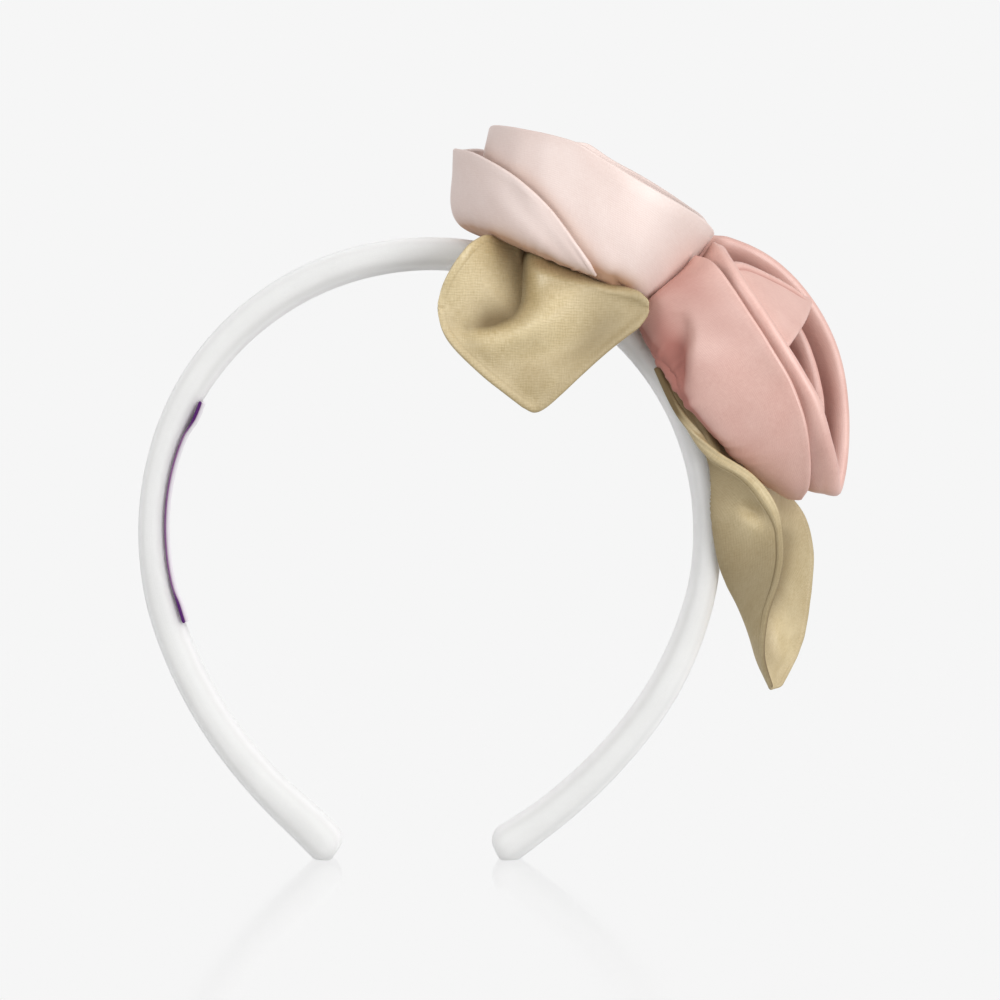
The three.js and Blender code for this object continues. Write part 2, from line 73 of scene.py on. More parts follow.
# Tips: length and steps of their rounding, and the shares of thickness and depth left at the end
TIP_LENGTH = 4
TIP_START = 0.06
TIP_STEPS = 10
TIP_THICKNESS = 0.3
TIP_DEPTH = 0.6
# Padding from tip to tip: angle from the top, thickness, how far its middle lies outside the hoop
PADDING = [
    (-144.2, 8.8, 1),
    (-139, 8.8, 0),
    (-132, 7.9, 0.2),
    (-122, 7.3, 0.6),
    (-110, 7, 0.7),
    (-96, 6.3, 0.5),
    (-78, 6.1, 0.4),
    (-58, 6.9, 0.2),
    (-36, 7.3, -0.1),
    (0, 7.2, -0.4),
    (36, 6.7, -0.2),
    (66, 6.2, 0),
    (90, 6.1, 0.1),
    (104, 6.4, 0.5),
    (118, 7.1, 0.6),
    (134, 7.4, 0),
    (146, 7.9, 0.3),
    (153.3, 8.9, 1),
]

# Label tape: width, cloth, gap to the band, what its folded ends add, bend of its back and front half
LABEL_DEPTH = 10.1
LABEL_CLOTH = 0.3
LABEL_SEAT = 0.2
LABEL_FOLD = 0.4
LABEL_BACK_BEND = 0.8
LABEL_FRONT_BEND = 0.2
LABEL_BEND_POWER = 3
LABEL_STATIONS = 80
LABEL_COLUMNS = 21
# Runs from the label's ends where the fold thins and the dark fades, and its dark front edge
LABEL_FOLD_RUN = (3, 8)
LABEL_DARK_RUN = (4, 10)
LABEL_EDGE = 0.25
LABEL_EDGE_SHADE = 0.4
# Angle of the label's points, and how far each lifts off the band
LABEL = [
    (-61.4, 0.2),
    (-63, 0.5),
    (-65.5, 0.7),
    (-68, 0.4),
    (-70.5, 0.1),
    (-82, 0),
    (-94, 0),
    (-101, 0),
    (-104, 0.1),
    (-106.5, 0.3),
    (-109.2, 0.2),
]

# Roses: foot of the axis on the band, tip to the right, lean to the front, reach of the painted shade at
# the foot
PALE_ROSE = {"x": 32.2, "y": 0, "z": 61.7, "tip": 24, "lean": 5, "painted_foot_shade": 1.6, "slot": "pale_satin"}
DUSTY_ROSE = {"x": 62.2, "y": 5, "z": 31.9, "tip": 58, "lean": 15, "painted_foot_shade": 0.8, "slot": "dusty_satin"}
# Petals: turn round the rose, then reach and height of the foot, the heel and the rim
PALE_OUTER = [
    (128, 14, 0.5, 23, 0.4, 25, 6),
    (150, 14, 0.4, 27.4, -0.6, 31.5, 18.5),
    (172, 14, 0.4, 30, -1.3, 35.4, 16.5),
    (186, 14, 0.4, 30, -1.2, 35.4, 16.1),
    (203, 14, 0.6, 28.2, -0.1, 32.6, 16.6),
    (228, 14, 0.9, 25.8, 0.9, 28.8, 15.3),
    (250, 14, 1.2, 25, 1.2, 26, 11.9),
    (270, 14, 1.3, 24.4, 1.4, 25.2, 7),
    (281, 14, 1.5, 24, 1.7, 24.6, 4.2),
    (288, 14, 1.6, 23.2, 1.9, 23.6, 2.4),
]
PALE_MAIN = [
    (95, 7, 2, 18, 1.6, 21.5, 27),
    (140, 7, 2, 22, 1.6, 25.5, 26),
    (168, 7, 2, 25.6, 1.6, 29.4, 24.2),
    (192, 7, 2, 26, 1.8, 29.8, 24.8),
    (215, 7, 2, 24.8, 2, 27.6, 26.2),
    (230, 7, 2, 24.2, 2.1, 25.4, 27.4),
    (248, 7, 2, 23.4, 2.1, 24, 28.2),
    (265, 7, 2, 23.4, 1.7, 23.2, 27.3),
    (285, 7, 2, 23.6, 1, 23, 26.3),
    (303, 7, 1.8, 24.2, 0.6, 23.8, 25.6),
    (322, 7, 1.6, 24.6, 0.2, 25.2, 25),
    (335, 7, 1.4, 24.8, -0.1, 26.9, 24.5),
    (350, 7, 1.2, 24.6, -0.2, 28.6, 23.3),
    (366, 7, 1.2, 24, 0.2, 28.6, 22.8),
    (380, 7, 1.2, 22.4, 0.6, 27, 25.5),
    (398, 7, 1.2, 21, 0.8, 25.8, 26.9),
    (415, 7, 1, 20.4, 0.6, 24.8, 28.2),
    (435, 7, 0.8, 20, 0.4, 24, 29.3),
    (452, 7.2, 0.6, 20.2, 0.3, 24, 29.9),
    (468, 7.5, 0.4, 20.5, 0.2, 24.4, 31),
    (476, 8, 0.4, 20.5, 0.2, 24, 30.6),
]
PALE_INNER = [
    (-235, 2, 3.2, 12, 3.4, 14, 23),
    (-180, 2, 3.2, 19.5, 3.2, 22, 24),
    (-135, 2, 3.2, 17, 3.6, 20.5, 25),
    (-90, 2, 3.2, 15.5, 3.6, 19.5, 26),
    (-45, 2, 3.2, 16.5, 3, 21, 25),
    (0, 2, 3.2, 18.5, 2.4, 24.5, 23.4),
    (40, 2, 3.2, 16, 2.6, 21.6, 26),
    (80, 2, 3.2, 14.5, 2.8, 19.4, 27),
    (118, 2, 3.2, 16, 3.2, 19, 26),
]
PALE_HEART = [
    (30, 1.6, 4.6, 2.6, 5.2, 3.4, 23),
    (200, 2.4, 4.6, 4.4, 5.2, 5.6, 24),
    (370, 3.6, 4.6, 6.4, 5.2, 8.4, 25),
    (540, 4.8, 4.6, 9, 5.2, 12, 24),
]
DUSTY_FRONT = [
    (200, 12, 1, 23.6, -0.4, 29, 21.6),
    (216, 12, 0.6, 31.5, 0, 28, 25),
    (230, 12, 0.6, 25, -0.6, 25.4, 26),
    (250, 12, 0.8, 20.8, -0.4, 23, 26.5),
    (270, 12, 1.4, 20, -0.2, 22.2, 26.7),
    (295, 12, 2.4, 21, 0.2, 23.2, 26.2),
    (317, 12, 4, 24, 1.2, 26.8, 23.6),
    (335, 12, 5, 28.5, 2.6, 31.2, 18.9),
    (346, 14, 5.4, 32, 4.6, 34.2, 14.8),
    (353, 20, 6, 33.4, 6, 35.6, 11.4),
]
DUSTY_RING = [
    (187, 9, 3.8, 19.5, 3.2, 28.4, 26.5),
    (215, 9, 5, 19.4, 4, 25, 28.2),
    (245, 9, 6, 17.8, 4.6, 20.6, 29.2),
    (270, 9, 6.3, 17, 4.8, 19, 29.4),
    (295, 9, 6.3, 17.8, 5, 20.2, 29.3),
    (317, 9, 6.3, 20.4, 5.6, 24.2, 28.5),
    (337, 9, 6.4, 25, 6.6, 30.5, 25),
    (348, 10, 7, 29, 7.5, 35, 22.2),
    (356, 12, 7.5, 32, 9, 39, 19),
    (364, 12, 7, 32, 8.5, 39, 19.4),
    (374, 10, 6, 28, 6, 34.2, 24),
    (392, 9, 4.4, 21.5, 4.2, 27, 29.8),
    (418, 9, 1.6, 17.4, 2.2, 22, 33.9),
    (450, 9, -0.4, 16.8, 0.8, 20.2, 35.4),
    (482, 9, -0.2, 18, 0.6, 22.4, 34.4),
    (503, 9, 0.6, 20.5, 1, 27, 31),
    (518, 9, 1.6, 22, 1.6, 33.4, 24.2),
]
DUSTY_INNER = [
    (-130, 0.6, 9, 2.4, 9, 3, 16),
    (0, 0.6, 9, 4, 9, 5, 16.5),
    (110, 0.6, 8.4, 9, 8, 11.5, 18.5),
    (200, 0.6, 7.8, 15, 6.4, 20.5, 25),
    (235, 0.6, 7.8, 12.5, 7.4, 16, 25),
    (270, 0.6, 7.8, 11, 7.8, 13.4, 25),
    (310, 0.6, 7.8, 13.5, 7.8, 16.4, 24.4),
    (340, 0.6, 7.8, 17, 8.6, 20.4, 24.4),
    (360, 0.6, 7.8, 18.5, 9, 22, 24.7),
    (380, 0.6, 7.8, 17, 8.4, 20.8, 25.9),
    (412, 0.6, 7.4, 13, 6.2, 16.4, 28.6),
    (450, 0.6, 7, 12.6, 4.6, 15.6, 29.8),
    (490, 0.6, 7, 14.2, 4.2, 17.6, 28.4),
    (522, 0.6, 7, 16.4, 4.8, 20.4, 26),
    (562, 0.6, 7, 18.4, 5.8, 22.2, 20),
]
# Dents and shadows of petals from the front: points (x, z, depth), widths to left and right
FRONT_DENTS = [
    ([(60, 52, 0.2), (60.6, 46.6, 2), (59.8, 41.6, 3.2), (59.4, 37, 3), (60, 32.4, 0.4)], 1.6, 3.4),
]
FRONT_SHADOWS = [
    ([(53, 54, 0.15), (54.4, 49, 0.6), (56, 44, 0.7), (58.4, 38, 0.6), (61, 33, 0.2)], 3.6, 3.6),
    ([(57, 59, 0.5), (63, 57, 0.5), (69, 51, 0.16)], 5, 5),
]
MAIN_SHADOWS = [
    ([(12.5, 90.7, 0.3), (16.6, 87.1, 0.3), (23.8, 83.2, 0.3), (31, 75.1, 0.3), (37, 66.7, 0.35),
      (39.8, 60.7, 0.5)], 1.6, 2),
    ([(40.2, 60.2, 0.6), (43.6, 59, 0.8), (47, 58, 0.7), (50, 57.4, 0.2)], 2.2, 2.2),
]
MAIN_DENTS = [
    ([(43.4, 61.9, 0), (44.9, 57.8, 1.2), (46.5, 56, 0.6)], 1.6, 1.6),
]
# Petal cloth, its thinner ends, and how much closer its columns are at half height
PETAL_CLOTH = 0.8
END_THICKNESS = 0.45
END_RUN = 4
MIDDLE_CROWDING = 0.16
# Gathers at the foot: spread of their places, sizes, widths and runs, and the mean taken off
GATHER_JITTER = 0.45
GATHER_SIZES = (0.1, 1)
GATHER_SIZE_POWER = 1.5
GATHER_WIDTHS = (0.18, 0.5)
GATHER_RUNS = (0.3, 1.2)
GATHER_MEAN = 0.3
# Unevenness of cloth: number of waves, their pitch and the least share of it, and their height
RIPPLE_WAVES = 14
RIPPLE_PITCH = 14
RIPPLE_LEAST = 0.6
PETAL_RIPPLE = 0.1
LEAF_RIPPLE = 0.07
# Painted shade of petals: at the foot, where that ends on the pale rose, in dents and inside
PAINTED_FOOT_SHADE = 0.8
PALE_FOOT_SHADE_END = (49, 54)
DENT_SHADE = 0.16
INSIDE_SHADE = 0.95
INSIDE_RUN = (2.6, 7.5)
DEEPEST_SHADE = 0.9
FACING_FRONT = (0, 0.25)

# Folded petal of the dusty rose: left and right edge up the front and over the mouth
DUSTY_FOLD = [
    (-9, -12.4, 9, 4, -14.2, 9),
    (-13, -12.6, 17, 4, -15.4, 17),
    (-17.5, -12.8, 24, 3, -16.4, 25.4),
    (-20.6, -10, 28, 1.6, -14.6, 29.6),
    (-12.8, 3, 32.2, -1, 1, 33.1),
    (-4.6, 14.6, 34.8, -3.6, 14.2, 34.8),
]
FOLD_STATIONS = 90
FOLD_COLUMNS = 61
FOLD_CROWDING = 1.5
# Rolled top edge, hem and groove of the folded petal, fading where it is narrow
FOLD_ROLL = {"height": 0.9, "place": 0.7, "width": 0.7}
FOLD_HEM = {"height": 0.8, "width": 1.6}
FOLD_GROOVE = {"depth": 0.3, "place": 1.8, "width": 0.35, "shade": 0.6}
FOLD_WIDE = (2, 6)

# Front leaf: its middle, then upright sections (x, low, top, tuck under the rose)
FRONT_LEAF_MIDDLE = (26, -17.5, 49.5)
FRONT_LEAF = [
    (-23.8, 0.8, 3, 0),
    (-23.2, -2, 5.6, 0),
    (-22, -4.4, 8.2, 0),
    (-19.8, -7.2, 11.8, 0),
    (-16.4, -10.6, 16.2, 0),
    (-12.8, -13.8, 18.8, 3),
    (-9.2, -16.6, 18, 3),
    (-6.6, -18.6, 17.8, 1.5),
    (-5, -19.8, 17.4, 0),
    (-3.8, -20.6, 16.8, 4),
    (-1.4, -21.6, 15.4, 9),
    (1.2, -20.6, 14.3, 9.4),
    (5, -17.4, 12.6, 9.4),
    (9.8, -12.9, 10.6, 9.4),
    (15, -8.2, 8.2, 8),
    (20, -4.2, 6.4, 3),
    (23, -2, 5.2, 0.6),
    (24.6, -0.2, 4, 0),
    (25.1, 1.2, 3, 0),
]
# Folds of the front leaf: points (x, z, depth), widths to left and right
FRONT_FOLDS = {
    "pocket": ([(-4.4, 20, 9), (-4.2, 16, 9), (-4.1, 12.3, 8.6), (-4.2, 7.8, 7.4), (-4.7, 3.6, 6),
                (-6.2, 0.6, 4.8), (-9, -1.1, 4), (-12.7, -2.2, 2.8), (-16.4, -2.6, 1)], 1.9, 5.6),
    "lobe": ([(-21.4, 2.7, -1), (-19.6, 9.6, -2.8), (-16.8, 14.6, -2.8), (-14, 17.6, -1.6)], 4, 4),
    "ridge": ([(-18, -8.5, -0.6), (-12, -5.8, -2.4), (-1.6, -2, -3), (4.7, 3, -2.6), (11.8, 7, -0.6)],
              4.6, 4.6),
    "trough": ([(-12, -9.6, 0.4), (-5, -9.4, 1.4), (4, -8, 1.6), (13, -2.8, 1.2), (20, 1, 0.2)],
               3.6, 3.6),
    "crease": ([(-3.4, 3.2, 1), (-1.4, 5.4, 1), (1.4, 7.8, 0.7), (4.7, 10.4, 0.1)], 2.6, 2.6),
}
# Shade in the pocket, darkest along its edge
POCKET_SHADE = ([(-4.4, 20, 0.95), (-4.2, 16, 0.9), (-4.1, 12.3, 0.75), (-4.2, 7.8, 0.65),
                 (-4.7, 3.6, 0.65), (-6.2, 0.6, 0.75), (-9, -1.1, 0.9), (-12.7, -2.2, 0.9),
                 (-16.4, -2.4, 0.45), (-19, -2, 0.1)], 1.2, 5.4)
# Shade along the left edge and the trough of the front leaf
TROUGH_SHADE = ([(-21.5, -1, 0.16), (-19, -6, 0.22), (-14, -9.9, 0.28), (-8, -11.5, 0.28),
                 (-1, -11.8, 0.3), (4.7, -10.4, 0.34), (10, -7, 0.3), (15, -3, 0.2), (20, 0.5, 0.05)],
                3.2, 3.2)
# Sections of the front leaf, closer together at the edge of the pocket
LEAF_SECTIONS = 170
LEAF_COLUMNS = 150
POCKET_SECTIONS = 60
POCKET_SPAN = (-6.2, -2)
POCKET_MARGIN = 0.05
LEAF_TABLE_STEPS = 800
OUTLINE_STEPS = 1600
# Front leaf: cloth, hem, sewn line, lift of its rim, tuck of its top, tilt of its right, droop below
LEAF_CLOTH = 1.0
LEAF_HEM = {"height": 0.5, "width": 1}
SEAM = {"place": 1.35, "width": 0.2, "depth": 0.12, "shade": 0.1}
SEAM_END = (2, -8)
RIM_LIFT = {"height": 0.8, "width": 1.8}
TUCK_START = 0.85
TILT = {"slope": 0.05, "start": 4}
DROOP = {"curve": 0.02, "start": -8}
FRONT_LEAF_SEED = 21
# Darker right side and low end of the front leaf, and the shade of its underside
RIGHT_SHADE = 0.4
RIGHT_RUN = (3, 16)
LOW_SHADE = 0.28
LOW_RUN = (-10, -19)
UNDERSIDE_SHADE = 0.3
# Thinner cloth on the pocket's wall, beside the upright points of its edge, and at both tips
POCKET_UPRIGHT = 6
WALL = {"place": 0.9, "width": 1.2, "thinned": 0.75}
WALL_START = (0, 4)
LEAF_TIPS = {"width": 1.5, "thinned": 0.6}

# Side leaf: front rim, keel, flank behind the keel and back rim down its length
SIDE_LEAF = [
    (53.6, -8.2, 37.6, 57.4, -7.6, 38, 58.8, -7.4, 38.2, 60.4, -7.4, 38),
    (59.4, -9.4, 25.8, 62.4, -8.4, 25.6, 64.6, -7.8, 26, 68.4, -3, 25.6),
    (67.3, -12, 18.1, 66.4, -8.8, 15.4, 68.6, -7.8, 15.8, 76, 6, 16.6),
    (75.8, -15, 12.2, 66.9, -8.9, 9, 70.4, -7, 9.2, 84.2, 12, 10.6),
    (81.2, -16, 4.6, 67.5, -8.9, 2.2, 72.4, -5.6, 2.6, 90.6, 14, 3.2),
    (82.6, -16, -4.7, 68.8, -8.4, -6.8, 74, -4, -6.2, 92.9, 14, -5.3),
    (81.8, -15, -12.2, 71.2, -6.4, -13.4, 75.6, -2, -13.6, 92.6, 14, -15.1),
    (79.3, -12, -21.3, 75.2, -4, -21.8, 78.4, 1, -21.8, 90.9, 12, -25),
    (78.9, -8, -30, 78, -2, -30.8, 80, 1.4, -31, 88.5, 8, -31.1),
    (81.4, -2, -37.7, 81.6, 0, -38.4, 82.2, 0.8, -38.3, 84.2, 2, -38),
]
# Side leaf from the front: dents, light in them, shade behind its front half, swelling of its back half
SIDE_DENTS = [
    ([(73.7, 6.2, 0.2), (77, 4.3, 1.6), (79.9, 2.9, 0.4)], 1.8, 1.8),
    ([(73, 2.9, -0.2), (76.6, 1.2, -0.9), (80.2, -0.5, -0.2)], 2, 2),
]
SIDE_LIGHT = ([(72.5, 3, 0.3), (76.2, 1.4, 1), (80.4, -0.4, 0.4)], 3, 3)
SIDE_BEHIND = ([(84.5, -2, 0.4), (84.5, -4.8, 0.45), (82.6, -13.7, 0.5), (80.2, -19.7, 0.5),
                (79.4, -24.5, 0.4), (80.9, -31.7, 0.2)], 2.2, 2.2)
SIDE_SWELL = ([(80.5, -18, 0), (82.6, -24, 1.6), (83.6, -28, 1.6), (84, -33, 0.2)], 2.6, 2.6)
# Mesh of the side leaf, closer along its rims, and closer still where it is under its full width
SIDE_STATIONS = 220
SIDE_CURVE_STEPS = 401
SIDE_COLUMNS = 110
RIM_COLUMNS = 24
RIM_RUN = 3.4
FULL_WIDTH = 12
SIDE_LEAF_SEED = 23
# Piping along the rims, its groove, and the lip it grows to on the upper front rim
PIPING = 1.3
PIPING_HEIGHT = 0.35
GROOVE = {"width": 0.18, "depth": 0.25, "shade": 0.25}
FRONT_HALF = (0.3, 0.42)
LIP_GROWTH = 1.4
LIP_HEIGHT = 1.3
LIP_START = (-2, 8)
LIP_END = (22, 32)
LIP_EDGE = (1.25, 0.95)
# Shade of the side leaf: upper stretch, top end, front rim, inside, outside, lighter low end and lip
UPPER_SHADE = 0.5
UPPER_RUN = (12, 24)
UPPER_ON_LIP = 0.8
TOP_SHADE = 0.5
TOP_RUN = (1, 5)
FRONT_RIM = {"width": 0.45, "shade": 0.9}
INNER_SHADE = 0.22
OUTER_SHADE = 0.56
SWELL_LIGHT = 0.2
LOW_LIGHT = 0.2
LOW_LIGHT_RUN = (-12, -26)
LIP_LIGHT = 0.36
DENT_LIGHT = 0.4
INNER_DEEPEST = 0.95
OUTER_DEEPEST = 0.85

# Strokes: steps between their points, and powers that blend their pieces and round their corners
STROKE_STEPS = 10
STROKE_BLEND = 8
STROKE_ROUNDING = 12
# Rounded edges of cloth: steps along its sides and, in shares of a right angle, at its ends
EDGE_STEPS = 5
END_TURNS = (0.92, 0.7, 0.4)

# Satin: scale of slow drifts of colour, slubs along both threads, their shares, and tones of the ramp
DRIFT_SCALE = 0.09
SLUB_STRETCHES = ((0.6, 3.6, 1), (3.6, 0.6, 1))
SLUB_RANGE = (0.7, 1.3)
DRIFT_SHARE = 0.4
SLUB_SHARE = 0.3
DARK_TONE = 0.38
FULL_TONE = 0.62
SLUB_ROUGHNESS = 0.04
# How much duller the cloth is where shade is painted
SHADE_ROUGHNESS = 0.5
# Weave: scale of the texture for a pitch of 1, share of the second thread, unevenness and relief
WAVE_SCALE = math.pi / 10
CROSS_THREAD = 0.5
WEAVE_DISTORTION = 4
WEAVE_RELIEF = 0.04
# Least share of its flat rectangle that a cloth's measured area is taken to fill
LEAST_AREA = 0.31

# Floor, in metres: half its side, where its gloss is full and where it has gone
FLOOR_HALF = 3.0
FLOOR_FULL = 0.25
FLOOR_GONE = 1.2
FLOOR_ROUGHNESS = 0.1
FLOOR_IOR = 1.07
# Share of the surround's light that falls on the cloth
FILL = 0.43
# Lamps: name, place, aim and size in metres, power in watts, and whether gloss mirrors them
LAMPS = [
    ("key_lamp", (0.85, -0.95, 0.02), (0.05, 0, 0.12), 0.6, 6.4, True),
    ("right_lamp", (1.0, -0.65, 0.6), (0.07, 0, 0.12), 0.6, 4.4, True),
    ("left_lamp", (-0.85, -1.0, 0.3), (0.0, 0, 0.12), 0.6, 5.3, True),
    ("top_lamp", (0.15, -0.7, 1.0), (0.03, 0, 0.12), 0.6, 3.0, True),
    ("back_lamp", (-0.1, 1.2, 0.5), (0.0, 0, 0.1), 0.8, 5.0, False),
]
# Camera: lens and sensor in millimetres, and the nearest it sees in metres
LENS = 97.5
SENSOR = 36
NEAREST_SEEN = 0.01


def rows_at(rows, t):
    """Rows of a table at shares t of its length, every column on a smooth curve."""
    rows = np.asarray(rows, float)
    last = len(rows) - 1
    place = np.clip(t, 0, 1) * last
    start = np.minimum(place.astype(int), last - 1)
    f = (place - start)[..., None]
    a, b, c, d = (rows[np.clip(start + k, 0, last)] for k in (-1, 0, 1, 2))
    bend = 2 * a - 5 * b + 4 * c - d
    lift = 3 * (b - c) + d - a
    return b + 0.5 * f * (c - a + f * (bend + f * lift))


def smoothstep(low, high, x):
    """0 below low, 1 above high, and smooth between."""
    t = np.clip((x - low) / (high - low), 0, 1)
    return t * t * (3 - 2 * t)


def bell(gap, width):
    """1 at no gap, fading away over this width."""
    return np.exp(-((gap / width) ** 2))


def stroke(x, z, points, left, right):
    """Depth of a fold drawn through points (x, z, depth), fading over these widths to its sides."""
    points = rows_at(points, np.linspace(0, 1, STROKE_STEPS * len(points)))
    gaps, depths, sides = [], [], []
    for (x1, z1, start), (x2, z2, end) in zip(points, points[1:]):
        run_x, run_z = x2 - x1, z2 - z1
        run = math.hypot(run_x, run_z)
        share = np.clip(((x - x1) * run_x + (z - z1) * run_z) / run ** 2, 0, 1)
        off_x, off_z = x - x1 - run_x * share, z - z1 - run_z * share
        gap = np.maximum(np.hypot(off_x, off_z), 1e-4)
        gaps.append(gap)
        depths.append(start + (end - start) * share)
        sides.append((run_x * off_z - run_z * off_x) / (run * gap))
    gaps = np.stack(gaps)
    nearest = gaps.min(0)
    weights = (nearest / gaps) ** STROKE_BLEND
    weights = weights / weights.sum(0)
    soft_gap = nearest * ((nearest / gaps) ** STROKE_ROUNDING).sum(0) ** (-1 / STROKE_ROUNDING)
    depth, side = (weights * np.stack(depths)).sum(0), (weights * np.stack(sides)).sum(0)
    width = right + (left - right) * (0.5 + 0.5 * side)
    return depth * bell(soft_gap, width)


def unit(vectors):
    """Vectors at length 1."""
    return vectors / np.maximum(np.linalg.norm(vectors, axis=-1, keepdims=True), 1e-9)


def grid_normals(grid):
    """Direction square to a grid of points at each of them."""
    return unit(np.cross(np.gradient(grid, axis=0), np.gradient(grid, axis=1)))


def hoop(angle, outward):
    """Points of the hoop at angles from the top, moved outward."""
    turn = np.abs(angle)
    start = CROWN_SWEEP * RAD
    arm_radius = np.where(angle < 0, LEFT_ARM["radius"], RIGHT_ARM["radius"])
    on_arm = turn > CROWN_SWEEP
    inset = np.where(on_arm, CROWN_RADIUS - arm_radius, 0)
    reach = np.where(on_arm, arm_radius, CROWN_RADIUS) + outward
    x = np.where(angle < 0, -1, 1) * (inset * math.sin(start) + reach * np.sin(turn * RAD))
    z = inset * math.cos(start) + reach * np.cos(turn * RAD)
    return np.stack([x, np.zeros_like(x), z], -1)


def padding_at(angle):
    """Thickness and outward shift of the padding at angles from the top."""
    angles = np.array([row[0] for row in PADDING], float)
    rows = rows_at(PADDING, np.interp(angle, angles, np.linspace(0, 1, len(angles))))
    return rows[..., 1:] + np.array([BAND_SWELL, 0])


def petal_grid(rows, us, vs, grip):
    """Petal in its rose: turning by u, from the foot round the heel to the rim by v."""
    turn, foot_r, foot_h, heel_r, heel_h, rim_r, rim_h = rows_at(rows, us).T[:, :, None]
    foot, heel, rim = (1 - vs) ** 2, 2 * grip * vs * (1 - vs), vs ** 2
    whole = foot + heel + rim
    reach = (foot * foot_r + heel * heel_r + rim * rim_r) / whole
    height = (foot * foot_h + heel * heel_h + rim * rim_h) / whole
    return np.stack([reach * np.cos(turn * RAD), reach * np.sin(turn * RAD), height], -1)


def in_rose(grid, rose):
    """Points of a rose's own frame, tipped and leaned into place on the hoop."""
    tip, lean = rose["tip"] * RAD, rose["lean"] * RAD
    x = grid[..., 0]
    y = grid[..., 1] * math.cos(lean) - grid[..., 2] * math.sin(lean)
    z = grid[..., 1] * math.sin(lean) + grid[..., 2] * math.cos(lean)
    across = x * math.cos(tip) + z * math.sin(tip)
    up = z * math.cos(tip) - x * math.sin(tip)
    return np.stack([across + rose["x"], y + rose["y"], up + rose["z"]], -1)


def mesh_object(name, points, faces, uv, material, shade):
    """Object of points in millimetres from the middle of the hoop."""
    mesh = bpy.data.meshes.new(name)
    mesh.from_pydata(((points + MIDDLE) * MM).tolist(), [], faces)
    corners = np.zeros(len(mesh.loops), np.int32)
    mesh.loops.foreach_get("vertex_index", corners)
    layer = mesh.uv_layers.new(name="cloth")
    layer.data.foreach_set("uv", uv[corners].astype(np.float32).ravel())
    layer = mesh.attributes.new("shade", "FLOAT", "POINT")
    layer.data.foreach_set("value", shade.astype(np.float32))
    mesh.materials.append(material)
    mesh.shade_smooth()
    obj = bpy.data.objects.new(name, mesh)
    bpy.context.scene.collection.objects.link(obj)
    return obj


def loft_faces(stations, size):
    """Faces of a closed tube through equal loops, both ends laced shut."""
    j, k = np.meshgrid(np.arange(stations - 1), np.arange(size), indexing="ij")
    a = (j * size + k).ravel()
    b = (j * size + (k + 1) % size).ravel()
    faces = np.stack([a, b, b + size, a + size], -1).tolist()
    top = (stations - 1) * size
    for k in range(size // 2 - 1):
        far = size - 1 - k
        faces.append([k, far, far - 1, k + 1])
        faces.append([top + k, top + k + 1, top + far - 1, top + far])
    return faces


def lengths(grid, axis):
    """Distance along a grid from its first row, on one axis."""
    steps = np.linalg.norm(np.diff(grid, axis=axis), axis=-1)
    pad = [(0, 0), (0, 0)]
    pad[axis] = (1, 0)
    return np.pad(np.cumsum(steps, axis=axis), pad)


def cloth(name, grid, thickness, material, shade, flat_grid=None):
    """Closed cloth through a grid of middle points, with rounded edges and a shade for each side."""
    half = np.broadcast_to(thickness, grid.shape[:2]) / 2
    normal = grid_normals(grid)
    along = unit(np.gradient(grid, axis=0))
    if flat_grid is None:
        flat_grid = np.stack([lengths(grid, 0), lengths(grid, 1)], -1)
    turns = np.array(END_TURNS) * math.pi / 2
    rows = [(0, -1, a) for a in turns]
    rows += [(j, 0, 0) for j in range(len(grid))]
    rows += [(-1, 1, a) for a in turns[::-1]]
    top, under = (np.broadcast_to(side, grid.shape[:2]) for side in shade)
    loops, uvs, shades = [], [], []
    for j, end, a in rows:
        h = half[j] * math.cos(a)
        line = grid[j] + end * along[j] * (half[j] * math.sin(a))[:, None]
        lifted = normal[j] * h[:, None]
        across = unit(np.gradient(line, axis=0))
        bends = np.linspace(0, math.pi, EDGE_STEPS + 2)[1:-1, None]
        rim = line[-1] + lifted[-1] * np.cos(bends) + across[-1] * h[-1] * np.sin(bends)
        foot = line[0] - lifted[0] * np.cos(bends) - across[0] * h[0] * np.sin(bends)
        loops.append(np.concatenate([line + lifted, rim, (line - lifted)[::-1], foot]))
        flat = flat_grid[j] + np.stack([end * half[j] * math.sin(a), 0 * half[j]], -1)
        over = np.concatenate([0 * bends, math.pi / 2 - np.abs(bends - math.pi / 2)], -1)
        ends = flat[-1:] + over * h[-1], flat[:1] - over * h[0]
        uvs.append(np.concatenate([flat, ends[0], flat[::-1], ends[1]]))
        turn = np.linspace(0, 1, EDGE_STEPS)
        rim_shade = top[j, -1] + (under[j, -1] - top[j, -1]) * turn
        foot_shade = under[j, 0] + (top[j, 0] - under[j, 0]) * turn
        shades.append(np.concatenate([top[j], rim_shade, under[j, ::-1], foot_shade]))
    points = np.stack(loops)
    faces = loft_faces(len(loops), points.shape[1])
    return mesh_object(name, points.reshape(-1, 3), faces, np.concatenate(uvs), material,
                       np.concatenate(shades))


def srgb(red, green, blue):
    """Linear colour of an sRGB triple from 0 to 255."""
    values = np.array([red, green, blue]) / 255
    linear = np.where(values < 0.04045, values / 12.92, ((values + 0.055) / 1.055) ** 2.4)
    return (*linear.tolist(), 1.0)


def new_node(tree, kind, inputs=None, **settings):
    """Node of a kind with its settings. Each input is a constant or the output that feeds it."""
    node = tree.nodes.new(kind)
    for name, value in settings.items():
        setattr(node, name, value)
    for socket, value in (inputs or {}).items():
        if isinstance(value, bpy.types.NodeSocket):
            tree.links.new(value, node.inputs[socket])
        else:
            node.inputs[socket].default_value = value
    return node


def math_node(tree, operation, *inputs):
    """Output of a math node with these constants or outputs on its sockets."""
    return new_node(tree, "ShaderNodeMath", dict(enumerate(inputs)), operation=operation).outputs[0]


